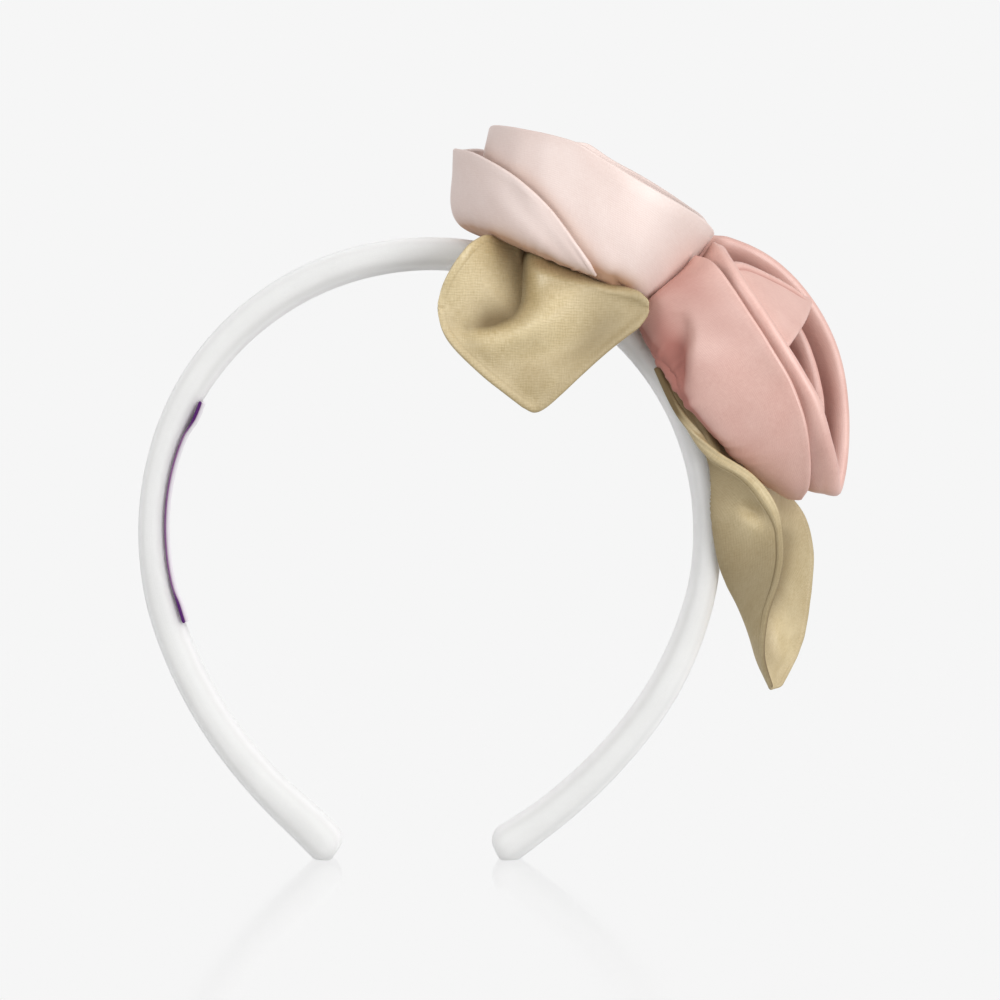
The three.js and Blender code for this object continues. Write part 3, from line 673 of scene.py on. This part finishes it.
def add_slubs(tree, place):
    """Sum of two noises, each drawn out along one thread."""
    noises = []
    for stretch in SLUB_STRETCHES:
        thread = new_node(tree, "ShaderNodeVectorMath", {0: place, 1: stretch}, operation="MULTIPLY")
        drawn_out = {"Vector": thread.outputs["Vector"], "Scale": 1, "Detail": 2}
        noises.append(new_node(tree, "ShaderNodeTexNoise", drawn_out).outputs["Fac"])
    return math_node(tree, "ADD", *noises)


def add_weave(tree, place, rib):
    """Height of a weave of two threads with this pitch in millimetres."""
    wave = {"Vector": place, "Scale": WAVE_SCALE / rib, "Distortion": WEAVE_DISTORTION, "Detail": 1}
    ribs = [new_node(tree, "ShaderNodeTexWave", wave, bands_direction=way) for way in ("X", "Y")]
    return math_node(tree, "MULTIPLY_ADD", ribs[0].outputs["Fac"], CROSS_THREAD, ribs[1].outputs["Fac"])


def satin(name, colour, dark, deep, rib, roughness, specular, sheen, weave_tint, bump):
    """Satin with a fine weave and slow drifts from dark to its colour, and a painted shade that is
    duller.
    """
    material = bpy.data.materials.new(name)
    material.use_nodes = True
    tree = material.node_tree
    shader = tree.nodes["Principled BSDF"]
    shader.inputs["Specular IOR Level"].default_value = specular
    shader.inputs["Anisotropic"].default_value = 0.3
    shader.inputs["Sheen Weight"].default_value = sheen
    shader.inputs["Sheen Roughness"].default_value = 0.4
    shader.inputs["Sheen Tint"].default_value = colour
    place = tree.nodes.new("ShaderNodeTexCoord").outputs["UV"]
    tangent = new_node(tree, "ShaderNodeTangent", direction_type="UV_MAP", uv_map="cloth")
    tree.links.new(tangent.outputs["Tangent"], shader.inputs["Tangent"])
    # Slow drifts and slubs choose a tone between dark and colour
    drift = new_node(tree, "ShaderNodeTexNoise", {"Vector": place, "Scale": DRIFT_SCALE, "Detail": 3})
    weak = math_node(tree, "MULTIPLY", drift.outputs["Fac"], DRIFT_SHARE)
    slubs = add_slubs(tree, place)
    blend = math_node(tree, "MULTIPLY_ADD", slubs, SLUB_SHARE, weak)
    ramp = new_node(tree, "ShaderNodeValToRGB", {"Fac": blend})
    for stop, position, tone in zip(ramp.color_ramp.elements, (DARK_TONE, FULL_TONE), (dark, colour)):
        stop.position = position
        stop.color = tone
    # The weave darkens and lightens that tone and gives the cloth its relief
    weave = add_weave(tree, place, rib)
    threads = new_node(tree, "ShaderNodeMapRange", {
        "Value": weave, "From Max": 1 + CROSS_THREAD, "To Min": 1 - weave_tint, "To Max": 1 + weave_tint})
    woven = new_node(tree, "ShaderNodeVectorMath", operation="SCALE")
    tree.links.new(ramp.outputs["Color"], woven.inputs[0])
    tree.links.new(threads.outputs["Result"], woven.inputs["Scale"])
    relief = new_node(tree, "ShaderNodeBump", {
        "Height": weave, "Strength": bump, "Distance": WEAVE_RELIEF * MM})
    tree.links.new(relief.outputs["Normal"], shader.inputs["Normal"])
    # Slubs make the gloss uneven, and painted shade makes the cloth duller and gives it the deep colour
    painted_shade = new_node(tree, "ShaderNodeAttribute", attribute_name="shade").outputs["Fac"]
    uneven = new_node(tree, "ShaderNodeMapRange", {
        "Value": slubs, "From Min": SLUB_RANGE[0], "From Max": SLUB_RANGE[1],
        "To Min": roughness - SLUB_ROUGHNESS, "To Max": roughness + SLUB_ROUGHNESS})
    dull = math_node(tree, "MULTIPLY_ADD", painted_shade, SHADE_ROUGHNESS, uneven.outputs["Result"])
    tree.links.new(dull, shader.inputs["Roughness"])
    tint = new_node(tree, "ShaderNodeMix", {
        "Factor": painted_shade, "A": woven.outputs["Vector"], "B": deep}, data_type="RGBA")
    tree.links.new(tint.outputs["Result"], shader.inputs["Base Color"])
    return material


def paint_sheen_at_slant(material, colour, low, high):
    """Paint a pale sheen on a cloth where it is seen at a slant, except where shade is painted."""
    tree = material.node_tree
    base = tree.nodes["Principled BSDF"].inputs["Base Color"]
    cloth_colour = base.links[0].from_socket
    slant = new_node(tree, "ShaderNodeLayerWeight", {"Blend": 0.5})
    share = new_node(tree, "ShaderNodeMapRange", {
        "Value": slant.outputs["Facing"], "From Min": low, "From Max": high},
        interpolation_type="SMOOTHSTEP")
    painted_shade = new_node(tree, "ShaderNodeAttribute", attribute_name="shade").outputs["Fac"]
    unshaded = math_node(tree, "SUBTRACT", 1, painted_shade)
    painted_sheen_share = math_node(tree, "MULTIPLY", unshaded, share.outputs["Result"])
    tint = new_node(tree, "ShaderNodeMix", {
        "Factor": painted_sheen_share, "A": cloth_colour, "B": colour}, data_type="RGBA")
    tree.links.new(tint.outputs["Result"], base)


def soften(material, reach):
    """Let light scatter this many millimetres through a padded cloth."""
    shader = material.node_tree.nodes["Principled BSDF"]
    shader.inputs["Subsurface Weight"].default_value = 1
    shader.inputs["Subsurface Radius"].default_value = (1, 1, 1)
    shader.inputs["Subsurface Scale"].default_value = reach * MM


def declare(obj, node, grid):
    """Put a piece of cloth on the root body and hide its node's part; its flat size and area are measured
    but not used.
    """
    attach(obj, "root")
    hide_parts(node)
    width = float(lengths(grid, 1)[:, -1].max()) * MM
    length = float(lengths(grid, 0)[-1].max()) * MM
    cells = np.cross(np.diff(grid, axis=0)[:, :-1], np.diff(grid, axis=1)[:-1])
    area = float(np.linalg.norm(cells, axis=-1).sum()) * MM * MM
    area = min(max(area, LEAST_AREA * width * length), width * length)


def as_seen(grid):
    """Sideways and upward place of points as the camera sees them on the plane of the hoop."""
    scale = -CAMERA_FROM_HOOP[1] / (grid[..., 1] - CAMERA_FROM_HOOP[1])
    x = CAMERA_FROM_HOOP[0] + (grid[..., 0] - CAMERA_FROM_HOOP[0]) * scale
    z = CAMERA_FROM_HOOP[2] + (grid[..., 2] - CAMERA_FROM_HOOP[2]) * scale
    return x, z


def heel_column(grid):
    """Column of a petal's grid where its heel lies, a third of the way up."""
    return grid.shape[1] // 3


def above_heel(grid):
    """Distance of a petal's points up from its heel."""
    up = lengths(grid, 1)
    heel = heel_column(grid)
    return np.maximum(up - up[:, heel:heel + 1], 0)


def gathers(grid, pitch, amount, reach, seed):
    """Uneven ridges round the foot of a petal, each dying out at its own height."""
    rng = np.random.default_rng(seed)
    s = lengths(grid, 0)[:, heel_column(grid)]
    t = above_heel(grid)
    count = int(s[-1] / pitch) + 2
    centres = (np.arange(count) + rng.uniform(-GATHER_JITTER, GATHER_JITTER, count)) * pitch
    sizes = rng.uniform(*GATHER_SIZES, count) ** GATHER_SIZE_POWER
    widths = pitch * rng.uniform(*GATHER_WIDTHS, count)
    runs = reach * rng.uniform(*GATHER_RUNS, count)
    total = np.zeros_like(t)
    for centre, size, width, run in zip(centres, sizes, widths, runs):
        total += size * bell(s - centre, width)[:, None] * np.exp(-t / run)
    return amount * (total - GATHER_MEAN * np.exp(-t / reach))


def ripples(grid, amount, seed):
    """Soft unevenness of cloth, from waves in random directions."""
    rng = np.random.default_rng(seed)
    s, t = lengths(grid, 0), lengths(grid, 1)
    total = np.zeros_like(s)
    for heading, phase, stretch in rng.uniform(0, 1, (RIPPLE_WAVES, 3)):
        wave = 2 * math.pi / (RIPPLE_PITCH * (RIPPLE_LEAST + stretch))
        along = s * math.cos(heading * math.pi) + t * math.sin(heading * math.pi)
        total += np.sin(wave * along + 2 * math.pi * phase)
    return amount * total / math.sqrt(RIPPLE_WAVES)


def add_band():
    """The padded hoop, with rounded tips cut flat where it stands."""
    ends = np.array([-(CROWN_SWEEP + LEFT_ARM["sweep"]), CROWN_SWEEP + RIGHT_ARM["sweep"]])
    insets = TIP_LENGTH / np.array([LEFT_ARM["radius"], RIGHT_ARM["radius"]]) / RAD
    steps = (1 - np.cos(np.linspace(TIP_START, 0.5, TIP_STEPS) * math.pi))[:-1]
    angles = np.concatenate([
        ends[0] + insets[0] * steps,
        np.linspace(ends[0] + insets[0], ends[1] - insets[1], BAND_STATIONS),
        (ends[1] - insets[1] * steps)[::-1],
    ])
    from_tip = np.concatenate([steps, np.ones(BAND_STATIONS), steps[::-1]])[:, None]
    thick = TIP_THICKNESS + (1 - TIP_THICKNESS) * np.sqrt(1 - (1 - from_tip) ** 2)
    deep = TIP_DEPTH + (1 - TIP_DEPTH) * thick
    pad = padding_at(angles)
    around = 2 * math.pi * (np.arange(BAND_CORNERS) + 0.5) / BAND_CORNERS
    side = np.sign(np.cos(around)) * np.abs(np.cos(around)) ** BAND_ROUNDING
    rise = np.sign(np.sin(around)) * np.abs(np.sin(around)) ** BAND_ROUNDING
    outward = pad[:, 1:] + rise * pad[:, :1] * thick / 2
    grid = hoop(angles[:, None] + 0 * outward, outward)
    grid[..., 1] = side * BAND_DEPTH * deep / 2
    grid[..., 2] = np.maximum(grid[..., 2], -HOOP_HEIGHT)
    run = lengths(grid, 0)[:, :1]
    girth = np.arange(BAND_CORNERS) * BAND_GIRTH / BAND_CORNERS
    uv = np.stack(np.broadcast_arrays(run, girth), -1).reshape(-1, 2)
    band = mesh_object("band_padding", grid.reshape(-1, 3), loft_faces(len(angles), BAND_CORNERS),
                       uv, BAND_SATIN, np.zeros(len(uv)))
    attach(band, "root")
    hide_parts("band")


def add_label():
    """The tape along the inside of the band, with lifted ends that are thick as if folded."""
    angle, lift = rows_at(LABEL, np.linspace(0, 1, LABEL_STATIONS)).T
    thick, outward = padding_at(angle).T
    line = hoop(angle, outward - thick / 2 - LABEL_SEAT - LABEL_CLOTH / 2 - lift)
    y = np.linspace(-LABEL_DEPTH / 2, LABEL_DEPTH / 2, LABEL_COLUMNS)
    share = 2 * y / LABEL_DEPTH
    bend = np.where(share > 0, LABEL_BACK_BEND, LABEL_FRONT_BEND) * np.abs(share) ** LABEL_BEND_POWER
    grid = line[:, None] + unit(line)[:, None] * bend[None, :, None]
    grid[..., 1] = y
    run = lengths(grid, 0)
    from_end = np.minimum(run, run[-1:] - run)
    thickness = LABEL_CLOTH + LABEL_FOLD * (1 - smoothstep(*LABEL_FOLD_RUN, from_end))
    dark_ends = 1 - smoothstep(*LABEL_DARK_RUN, from_end)
    edge = bell(y - y[0], LABEL_EDGE)[None] * (LABEL_EDGE_SHADE + (1 - LABEL_EDGE_SHADE) * dark_ends)
    label = cloth("label_cloth", grid, thickness, LABEL_TAPE, (edge, edge))
    declare(label, "label_tape", grid)


def add_petal(name, node, rose, rows, grip, stations, columns, roll, puckers=(), dents=(), shadows=()):
    """A petal with a foot that may pucker and a rim rolled by a width, thickness and inward share."""
    roll_width, roll_size, inward = roll
    us = np.linspace(0, 1, stations)
    vs = np.linspace(0, 1, columns)
    vs = vs + MIDDLE_CROWDING * np.sin(2 * math.pi * vs) / (2 * math.pi)
    walls = lengths(petal_grid(rows, us, vs, grip), 1)
    rims = np.array([np.interp(wall[-1] - roll_size / 2, wall, vs) for wall in walls])
    grid = in_rose(petal_grid(rows, us, vs * rims[:, None], grip), rose)
    normal = grid_normals(grid)
    x, z = as_seen(grid)
    facing = smoothstep(*FACING_FRONT, -normal[..., 1])
    sunk = np.zeros_like(x)
    for dent in dents:
        sunk = sunk + stroke(x, z, *dent) * facing
    push = ripples(grid, PETAL_RIPPLE, stations) - sunk
    if puckers:
        push = push + gathers(grid, *puckers)
    from_rim = lengths(grid, 1)
    from_rim = from_rim[:, -1:] - from_rim
    bead = np.exp(-((from_rim / roll_width) ** 4))
    run = lengths(grid, 0)[:, -1:]
    from_end = np.minimum(run, run[-1:] - run)
    tapered = END_THICKNESS + (1 - END_THICKNESS) * smoothstep(0, END_RUN, from_end)
    thickness = (PETAL_CLOTH + (roll_size - PETAL_CLOTH) * bead) * tapered
    grid = grid + normal * (push - (thickness - PETAL_CLOTH) * inward)[..., None]
    # Painted shade: each petal darker and browner towards its foot, except on the pale rose's right
    painted_foot_shade = PAINTED_FOOT_SHADE * np.exp(-above_heel(grid) / rose["painted_foot_shade"])
    if rose is PALE_ROSE:
        painted_foot_shade = painted_foot_shade * (1 - smoothstep(*PALE_FOOT_SHADE_END, x))
    outside = np.clip(painted_foot_shade + DENT_SHADE * np.maximum(sunk, 0), 0, 1)
    for shadow in shadows:
        outside = np.clip(outside + stroke(x, z, *shadow) * facing, 0, DEEPEST_SHADE)
    inside = INSIDE_SHADE * smoothstep(*INSIDE_RUN, from_rim)
    petal = cloth(name, grid, thickness, PETAL_SATINS[rose["slot"]], (outside, inside))
    declare(petal, node, grid)


def add_folded_petal():
    """The petal of the dusty rose whose corner lies over the mouth as a triangle."""
    rows = rows_at(DUSTY_FOLD, np.linspace(0, 1, FOLD_STATIONS))
    shares = np.linspace(0, 1, FOLD_COLUMNS) ** FOLD_CROWDING
    left, right = rows[:, None, :3], rows[:, None, 3:]
    grid = in_rose(left * (1 - shares[:, None]) + right * shares[:, None], DUSTY_ROSE)
    width = np.linalg.norm(right - left, axis=-1)
    from_top = shares * width
    from_low = (1 - shares) * width
    wide = smoothstep(*FOLD_WIDE, width)
    roll = FOLD_ROLL["height"] * bell(from_top - FOLD_ROLL["place"], FOLD_ROLL["width"]) * wide
    hem = FOLD_HEM["height"] * bell(from_low, FOLD_HEM["width"])
    groove = bell(from_top - FOLD_GROOVE["place"], FOLD_GROOVE["width"]) * wide
    thickness = PETAL_CLOTH + roll + hem - FOLD_GROOVE["depth"] * groove
    shade = FOLD_GROOVE["shade"] * groove
    fold = cloth("dusty_fold_cloth", grid, thickness, DUSTY_SATIN, (shade, shade))
    declare(fold, "dusty_rose_folded_petal", grid)


def front_leaf_sections():
    """Sections of the front leaf from left to right, closer together at the edge of the pocket."""
    table_t = np.linspace(0, 1, LEAF_TABLE_STEPS)
    table_x = rows_at(FRONT_LEAF, table_t)[:, 0]
    coarse_x = np.linspace(table_x[0], table_x[-1], LEAF_SECTIONS)
    low, high = POCKET_SPAN
    section_x = np.concatenate([
        coarse_x[coarse_x < low - POCKET_MARGIN],
        np.linspace(low, high, POCKET_SECTIONS),
        coarse_x[coarse_x > high + POCKET_MARGIN],
    ])
    return rows_at(FRONT_LEAF, np.interp(section_x, table_x, table_t))


def gap_to_outline(x, z):
    """Distance of points of the front leaf from its outline."""
    outline = rows_at(FRONT_LEAF, np.linspace(0, 1, OUTLINE_STEPS))
    outline = np.concatenate([outline[:, [0, 1]], outline[:, [0, 2]]])
    tree = KDTree(len(outline))
    for index, (edge_x, edge_z) in enumerate(outline):
        tree.insert((edge_x, 0, edge_z), index)
    tree.balance()
    gaps = [tree.find((point_x, 0, point_z))[2] for point_x, point_z in zip(x.ravel(), z.ravel())]
    return np.array(gaps).reshape(x.shape)


def add_front_leaf():
    """The broad leaf under the pale rose, with folds pressed into it and a hem sewn down its left."""
    sections = front_leaf_sections()
    vs = np.linspace(0, 1, LEAF_COLUMNS)[None]
    x = np.repeat(sections[:, :1], LEAF_COLUMNS, 1)
    z = sections[:, 1:2] + (sections[:, 2:3] - sections[:, 1:2]) * vs
    y = sections[:, 3:] * np.maximum(0, (vs - TUCK_START) / (1 - TUCK_START)) ** 2
    for fold in FRONT_FOLDS.values():
        y = y + stroke(x, z, *fold)
    y = y - TILT["slope"] * np.maximum(x - TILT["start"], 0)
    y = y + DROOP["curve"] * np.maximum(DROOP["start"] - z, 0) ** 2
    edge_gap = gap_to_outline(x, z)
    y = y - RIM_LIFT["height"] * bell(edge_gap, RIM_LIFT["width"])
    grid = np.stack([x, y, z], -1) + np.array(FRONT_LEAF_MIDDLE)
    grid = grid + grid_normals(grid) * ripples(grid, LEAF_RIPPLE, FRONT_LEAF_SEED)[..., None]
    seam = bell(edge_gap - SEAM["place"], SEAM["width"]) * smoothstep(*SEAM_END, x)
    shade = stroke(x, z, *POCKET_SHADE) + stroke(x, z, *TROUGH_SHADE) + SEAM["shade"] * seam
    shade = shade + RIGHT_SHADE * smoothstep(*RIGHT_RUN, x) + LOW_SHADE * smoothstep(*LOW_RUN, z)
    shade = np.clip(shade, 0, DEEPEST_SHADE)
    thickness = LEAF_CLOTH + LEAF_HEM["height"] * bell(edge_gap, LEAF_HEM["width"]) - SEAM["depth"] * seam
    pocket = np.array(FRONT_FOLDS["pocket"][0][:POCKET_UPRIGHT])[::-1]
    from_pocket = x - np.interp(z, pocket[:, 1], pocket[:, 0])
    on_wall = bell(from_pocket - WALL["place"], WALL["width"]) * smoothstep(*WALL_START, z)
    at_tips = bell(x - x[0, 0], LEAF_TIPS["width"]) + bell(x - x[-1, 0], LEAF_TIPS["width"])
    thickness = thickness * (1 - WALL["thinned"] * on_wall) * (1 - LEAF_TIPS["thinned"] * at_tips)
    leaf = cloth("front_leaf_cloth", grid, thickness, LEAF_SATIN, (shade, UNDERSIDE_SHADE),
                 np.stack([x, z], -1))
    declare(leaf, "front_leaf", grid)


def side_leaf_grid():
    """Points of the side leaf, closer together at both rims, their way across it, and its widths."""
    rows = rows_at(SIDE_LEAF, np.linspace(0, 1, SIDE_STATIONS))
    steps = np.linspace(0, 1, SIDE_CURVE_STEPS)
    curves = np.stack([rows_at(points, steps) for points in rows.reshape(SIDE_STATIONS, -1, 3)])
    across = lengths(curves, 1)
    widths = across[:, -1:]
    near_rim = np.linspace(0, RIM_RUN, RIM_COLUMNS) * np.minimum(1, widths / FULL_WIDTH)
    far_rim = widths - near_rim[:, ::-1]
    between = np.linspace(0, 1, SIDE_COLUMNS)[1:-1]
    inner = near_rim[:, -1:] + (far_rim[:, :1] - near_rim[:, -1:]) * between
    spots = np.concatenate([near_rim, inner, far_rim], 1)
    grid = np.stack([
        np.stack([np.interp(spots[j], across[j], curves[j, :, axis]) for axis in range(3)], -1)
        for j in range(SIDE_STATIONS)
    ])
    return grid, spots, widths


def add_side_leaf():
    """The long leaf under the dusty rose, folded along its keel, with piped rims and a thick lip."""
    grid, spots, widths = side_leaf_grid()
    squeeze = np.minimum(1, widths / FULL_WIDTH)
    from_rim = np.minimum(spots, widths - spots)
    front_half = 1 - smoothstep(*FRONT_HALF, spots / widths)
    height = grid[..., 2]
    lip = smoothstep(*LIP_START, height) * (1 - smoothstep(*LIP_END, height)) * front_half
    piping = PIPING + LIP_GROWTH * lip
    on_lip = lip * smoothstep(*LIP_EDGE, from_rim / piping)
    pillow = np.where(from_rim < piping, 1 - (2 * from_rim / piping - 1) ** 2, 0)
    pillow = pillow * (PIPING_HEIGHT + LIP_HEIGHT * lip)
    grooves = bell(from_rim - piping, GROOVE["width"]) * front_half
    thickness = LEAF_CLOTH + (pillow - GROOVE["depth"] * grooves) * squeeze
    x, z = as_seen(grid)
    for dent in SIDE_DENTS:
        grid[..., 1] += stroke(x, z, *dent) * front_half
    swell = stroke(x, z, *SIDE_SWELL)
    grid[..., 1] -= swell * (1 - front_half)
    grid = grid + grid_normals(grid) * ripples(grid, LEAF_RIPPLE, SIDE_LEAF_SEED)[..., None]
    lines = GROOVE["shade"] * grooves * squeeze
    lines = lines + UPPER_SHADE * smoothstep(*UPPER_RUN, z) * (1 - UPPER_ON_LIP * on_lip)
    lines = lines + TOP_SHADE * (1 - smoothstep(*TOP_RUN, lengths(grid, 0)))
    front_rim = FRONT_RIM["shade"] * bell(spots, FRONT_RIM["width"]) * (1 - lip)
    inner_shade = lines + INNER_SHADE + front_rim - SWELL_LIGHT * swell
    inner_shade = inner_shade + stroke(x, z, *SIDE_BEHIND) * (1 - front_half)
    inner_shade = np.clip(inner_shade, 0, INNER_DEEPEST)
    outer_shade = lines + OUTER_SHADE - LOW_LIGHT * smoothstep(*LOW_LIGHT_RUN, z)
    outer_shade = outer_shade - LIP_LIGHT * on_lip - DENT_LIGHT * stroke(x, z, *SIDE_LIGHT)
    outer_shade = np.clip(outer_shade, 0, OUTER_DEEPEST)
    leaf = cloth("side_leaf_cloth", grid, thickness, LEAF_SATIN, (inner_shade, outer_shade))
    declare(leaf, "side_leaf", grid)


def add_floor():
    """Clear floor with a faint gloss that fades out round the headband."""
    mesh = bpy.data.meshes.new("floor")
    corners = [(-1, -1), (1, -1), (1, 1), (-1, 1)]
    mesh.from_pydata([(FLOOR_HALF * x, FLOOR_HALF * y, 0) for x, y in corners], [], [(0, 1, 2, 3)])
    floor = bpy.data.objects.new("floor", mesh)
    bpy.context.scene.collection.objects.link(floor)
    material = bpy.data.materials.new("pale_floor")
    material.use_nodes = True
    tree = material.node_tree
    tree.nodes.clear()
    clear = tree.nodes.new("ShaderNodeBsdfTransparent")
    gloss = new_node(tree, "ShaderNodeBsdfGlossy", {"Color": (1, 1, 1, 1), "Roughness": FLOOR_ROUGHNESS})
    fresnel = new_node(tree, "ShaderNodeFresnel", {"IOR": FLOOR_IOR})
    place = tree.nodes.new("ShaderNodeNewGeometry").outputs["Position"]
    reach = new_node(tree, "ShaderNodeVectorMath", {0: place}, operation="LENGTH")
    fade = new_node(tree, "ShaderNodeMapRange", {
        "Value": reach.outputs["Value"], "From Min": FLOOR_FULL, "From Max": FLOOR_GONE,
        "To Min": 1, "To Max": 0}, interpolation_type="SMOOTHSTEP")
    amount = math_node(tree, "MULTIPLY", fresnel.outputs["Fac"], fade.outputs["Result"])
    mix = new_node(tree, "ShaderNodeMixShader", {
        "Fac": amount, 1: clear.outputs["BSDF"], 2: gloss.outputs["BSDF"]})
    new_node(tree, "ShaderNodeOutputMaterial", {"Surface": mix.outputs["Shader"]})
    mesh.materials.append(material)


def add_surround():
    """A pale surround that lights the cloth less than it shows."""
    world = bpy.data.worlds.new("studio")
    bpy.context.scene.world = world
    world.use_nodes = True
    tree = world.node_tree
    surround = tree.nodes["Background"]
    surround.inputs["Color"].default_value = BACKGROUND
    fill = new_node(tree, "ShaderNodeBackground", {"Color": BACKGROUND, "Strength": FILL})
    rays = tree.nodes.new("ShaderNodeLightPath")
    choose = new_node(tree, "ShaderNodeMixShader", {
        "Fac": rays.outputs["Is Diffuse Ray"],
        1: surround.outputs["Background"], 2: fill.outputs["Background"]})
    tree.links.new(choose.outputs["Shader"], tree.nodes["World Output"].inputs["Surface"])


def add_lamp(name, place, aim, size, power, mirrored):
    """Square soft lamp, hidden from view and, if not mirrored, from gloss."""
    lamp = bpy.data.lights.new(name, "AREA")
    lamp.shape = "SQUARE"
    lamp.size = size
    lamp.energy = power
    obj = bpy.data.objects.new(name, lamp)
    obj.location = place
    obj.visible_camera = False
    obj.visible_glossy = mirrored
    obj.rotation_euler = (Vector(aim) - Vector(place)).to_track_quat("-Z", "Y").to_euler()
    bpy.context.scene.collection.objects.link(obj)


def add_camera():
    """Level camera at the photo's distance."""
    data = bpy.data.cameras.new("camera")
    data.lens = LENS
    data.sensor_width = SENSOR
    data.clip_start = NEAREST_SEEN
    camera = bpy.data.objects.new("camera", data)
    camera.location = ((CAMERA_FROM_HOOP + MIDDLE) * MM).tolist()
    camera.rotation_euler = (math.pi / 2, 0, 0)
    bpy.context.scene.collection.objects.link(camera)
    bpy.context.scene.camera = camera
    bpy.context.scene.view_settings.view_transform = "Standard"


# Cloths: colour, dark tone, and the deep colour of their painted shade
BACKGROUND = srgb(246, 246, 246)
BAND_SATIN = satin("band_satin", srgb(224, 224, 223), srgb(220, 220, 219), srgb(200, 200, 198),
                   rib=0.5, roughness=0.6, specular=0.15, sheen=0.6, weave_tint=0.005, bump=0.1)
LABEL_TAPE = satin("label_tape", srgb(142, 98, 140), srgb(130, 86, 130), srgb(80, 34, 100),
                   rib=0.4, roughness=0.5, specular=0.2, sheen=0.1, weave_tint=0.05, bump=0.3)
PALE_SATIN = satin("pale_satin", srgb(229, 210, 203), srgb(220, 198, 190), srgb(190, 146, 112),
                   rib=0.45, roughness=0.46, specular=1.2, sheen=0.1, weave_tint=0.012, bump=0.2)
DUSTY_SATIN = satin("dusty_satin", srgb(224, 182, 170), srgb(211, 163, 151), srgb(162, 96, 84),
                    rib=0.45, roughness=0.44, specular=1.2, sheen=0.1, weave_tint=0.015, bump=0.25)
LEAF_SATIN = satin("leaf_satin", srgb(216, 198, 156), srgb(187, 166, 119), srgb(94, 74, 38),
                   rib=0.65, roughness=0.46, specular=1, sheen=0.1, weave_tint=0.04, bump=0.5)
PETAL_SATINS = {"pale_satin": PALE_SATIN, "dusty_satin": DUSTY_SATIN}
# Painted sheen: the band's slanting edges and the label's slanting face turn paler
paint_sheen_at_slant(BAND_SATIN, srgb(255, 255, 254), low=0.15, high=0.85)
paint_sheen_at_slant(LABEL_TAPE, srgb(250, 247, 252), low=0.72, high=0.92)
soften(BAND_SATIN, reach=6)

# Band and label
add_band()
add_label()

# Petals, some puckered at the foot by gathers of a pitch, height, reach and seed
add_petal("pale_outer_cloth", "pale_rose_outer_petal", PALE_ROSE, PALE_OUTER, grip=3,
          stations=220, columns=70, roll=(0.9, 1.3, 0.3), puckers=(2, 0.28, 2.2, 3))
add_petal("pale_main_cloth", "pale_rose_main_petal", PALE_ROSE, PALE_MAIN, grip=3.5,
          stations=260, columns=60, roll=(0.9, 1.3, 0.3), puckers=(3, 0.25, 2.5, 5),
          dents=MAIN_DENTS, shadows=MAIN_SHADOWS)
add_petal("pale_inner_cloth", "pale_rose_inner_petal", PALE_ROSE, PALE_INNER, grip=2,
          stations=160, columns=44, roll=(2, 2.2, 0.5))
add_petal("pale_heart_cloth", "pale_rose_heart", PALE_ROSE, PALE_HEART, grip=2,
          stations=160, columns=36, roll=(1.4, 1.6, 0.5))
add_petal("dusty_front_cloth", "dusty_rose_front_petal", DUSTY_ROSE, DUSTY_FRONT, grip=2,
          stations=220, columns=70, roll=(1, 1.4, 0.3), puckers=(2.6, 0.7, 3.2, 11),
          dents=FRONT_DENTS, shadows=FRONT_SHADOWS)
add_petal("dusty_ring_cloth", "dusty_rose_ring_petal", DUSTY_ROSE, DUSTY_RING, grip=2,
          stations=260, columns=60, roll=(3.4, 3.2, 0.5), puckers=(3, 0.3, 3, 13))
add_petal("dusty_inner_cloth", "dusty_rose_inner_petal", DUSTY_ROSE, DUSTY_INNER, grip=2,
          stations=280, columns=60, roll=(3, 2.8, 0.5))
add_folded_petal()

# Leaves
add_front_leaf()
add_side_leaf()

# Studio
add_floor()
add_surround()
for lamp_row in LAMPS:
    add_lamp(*lamp_row)
add_camera()
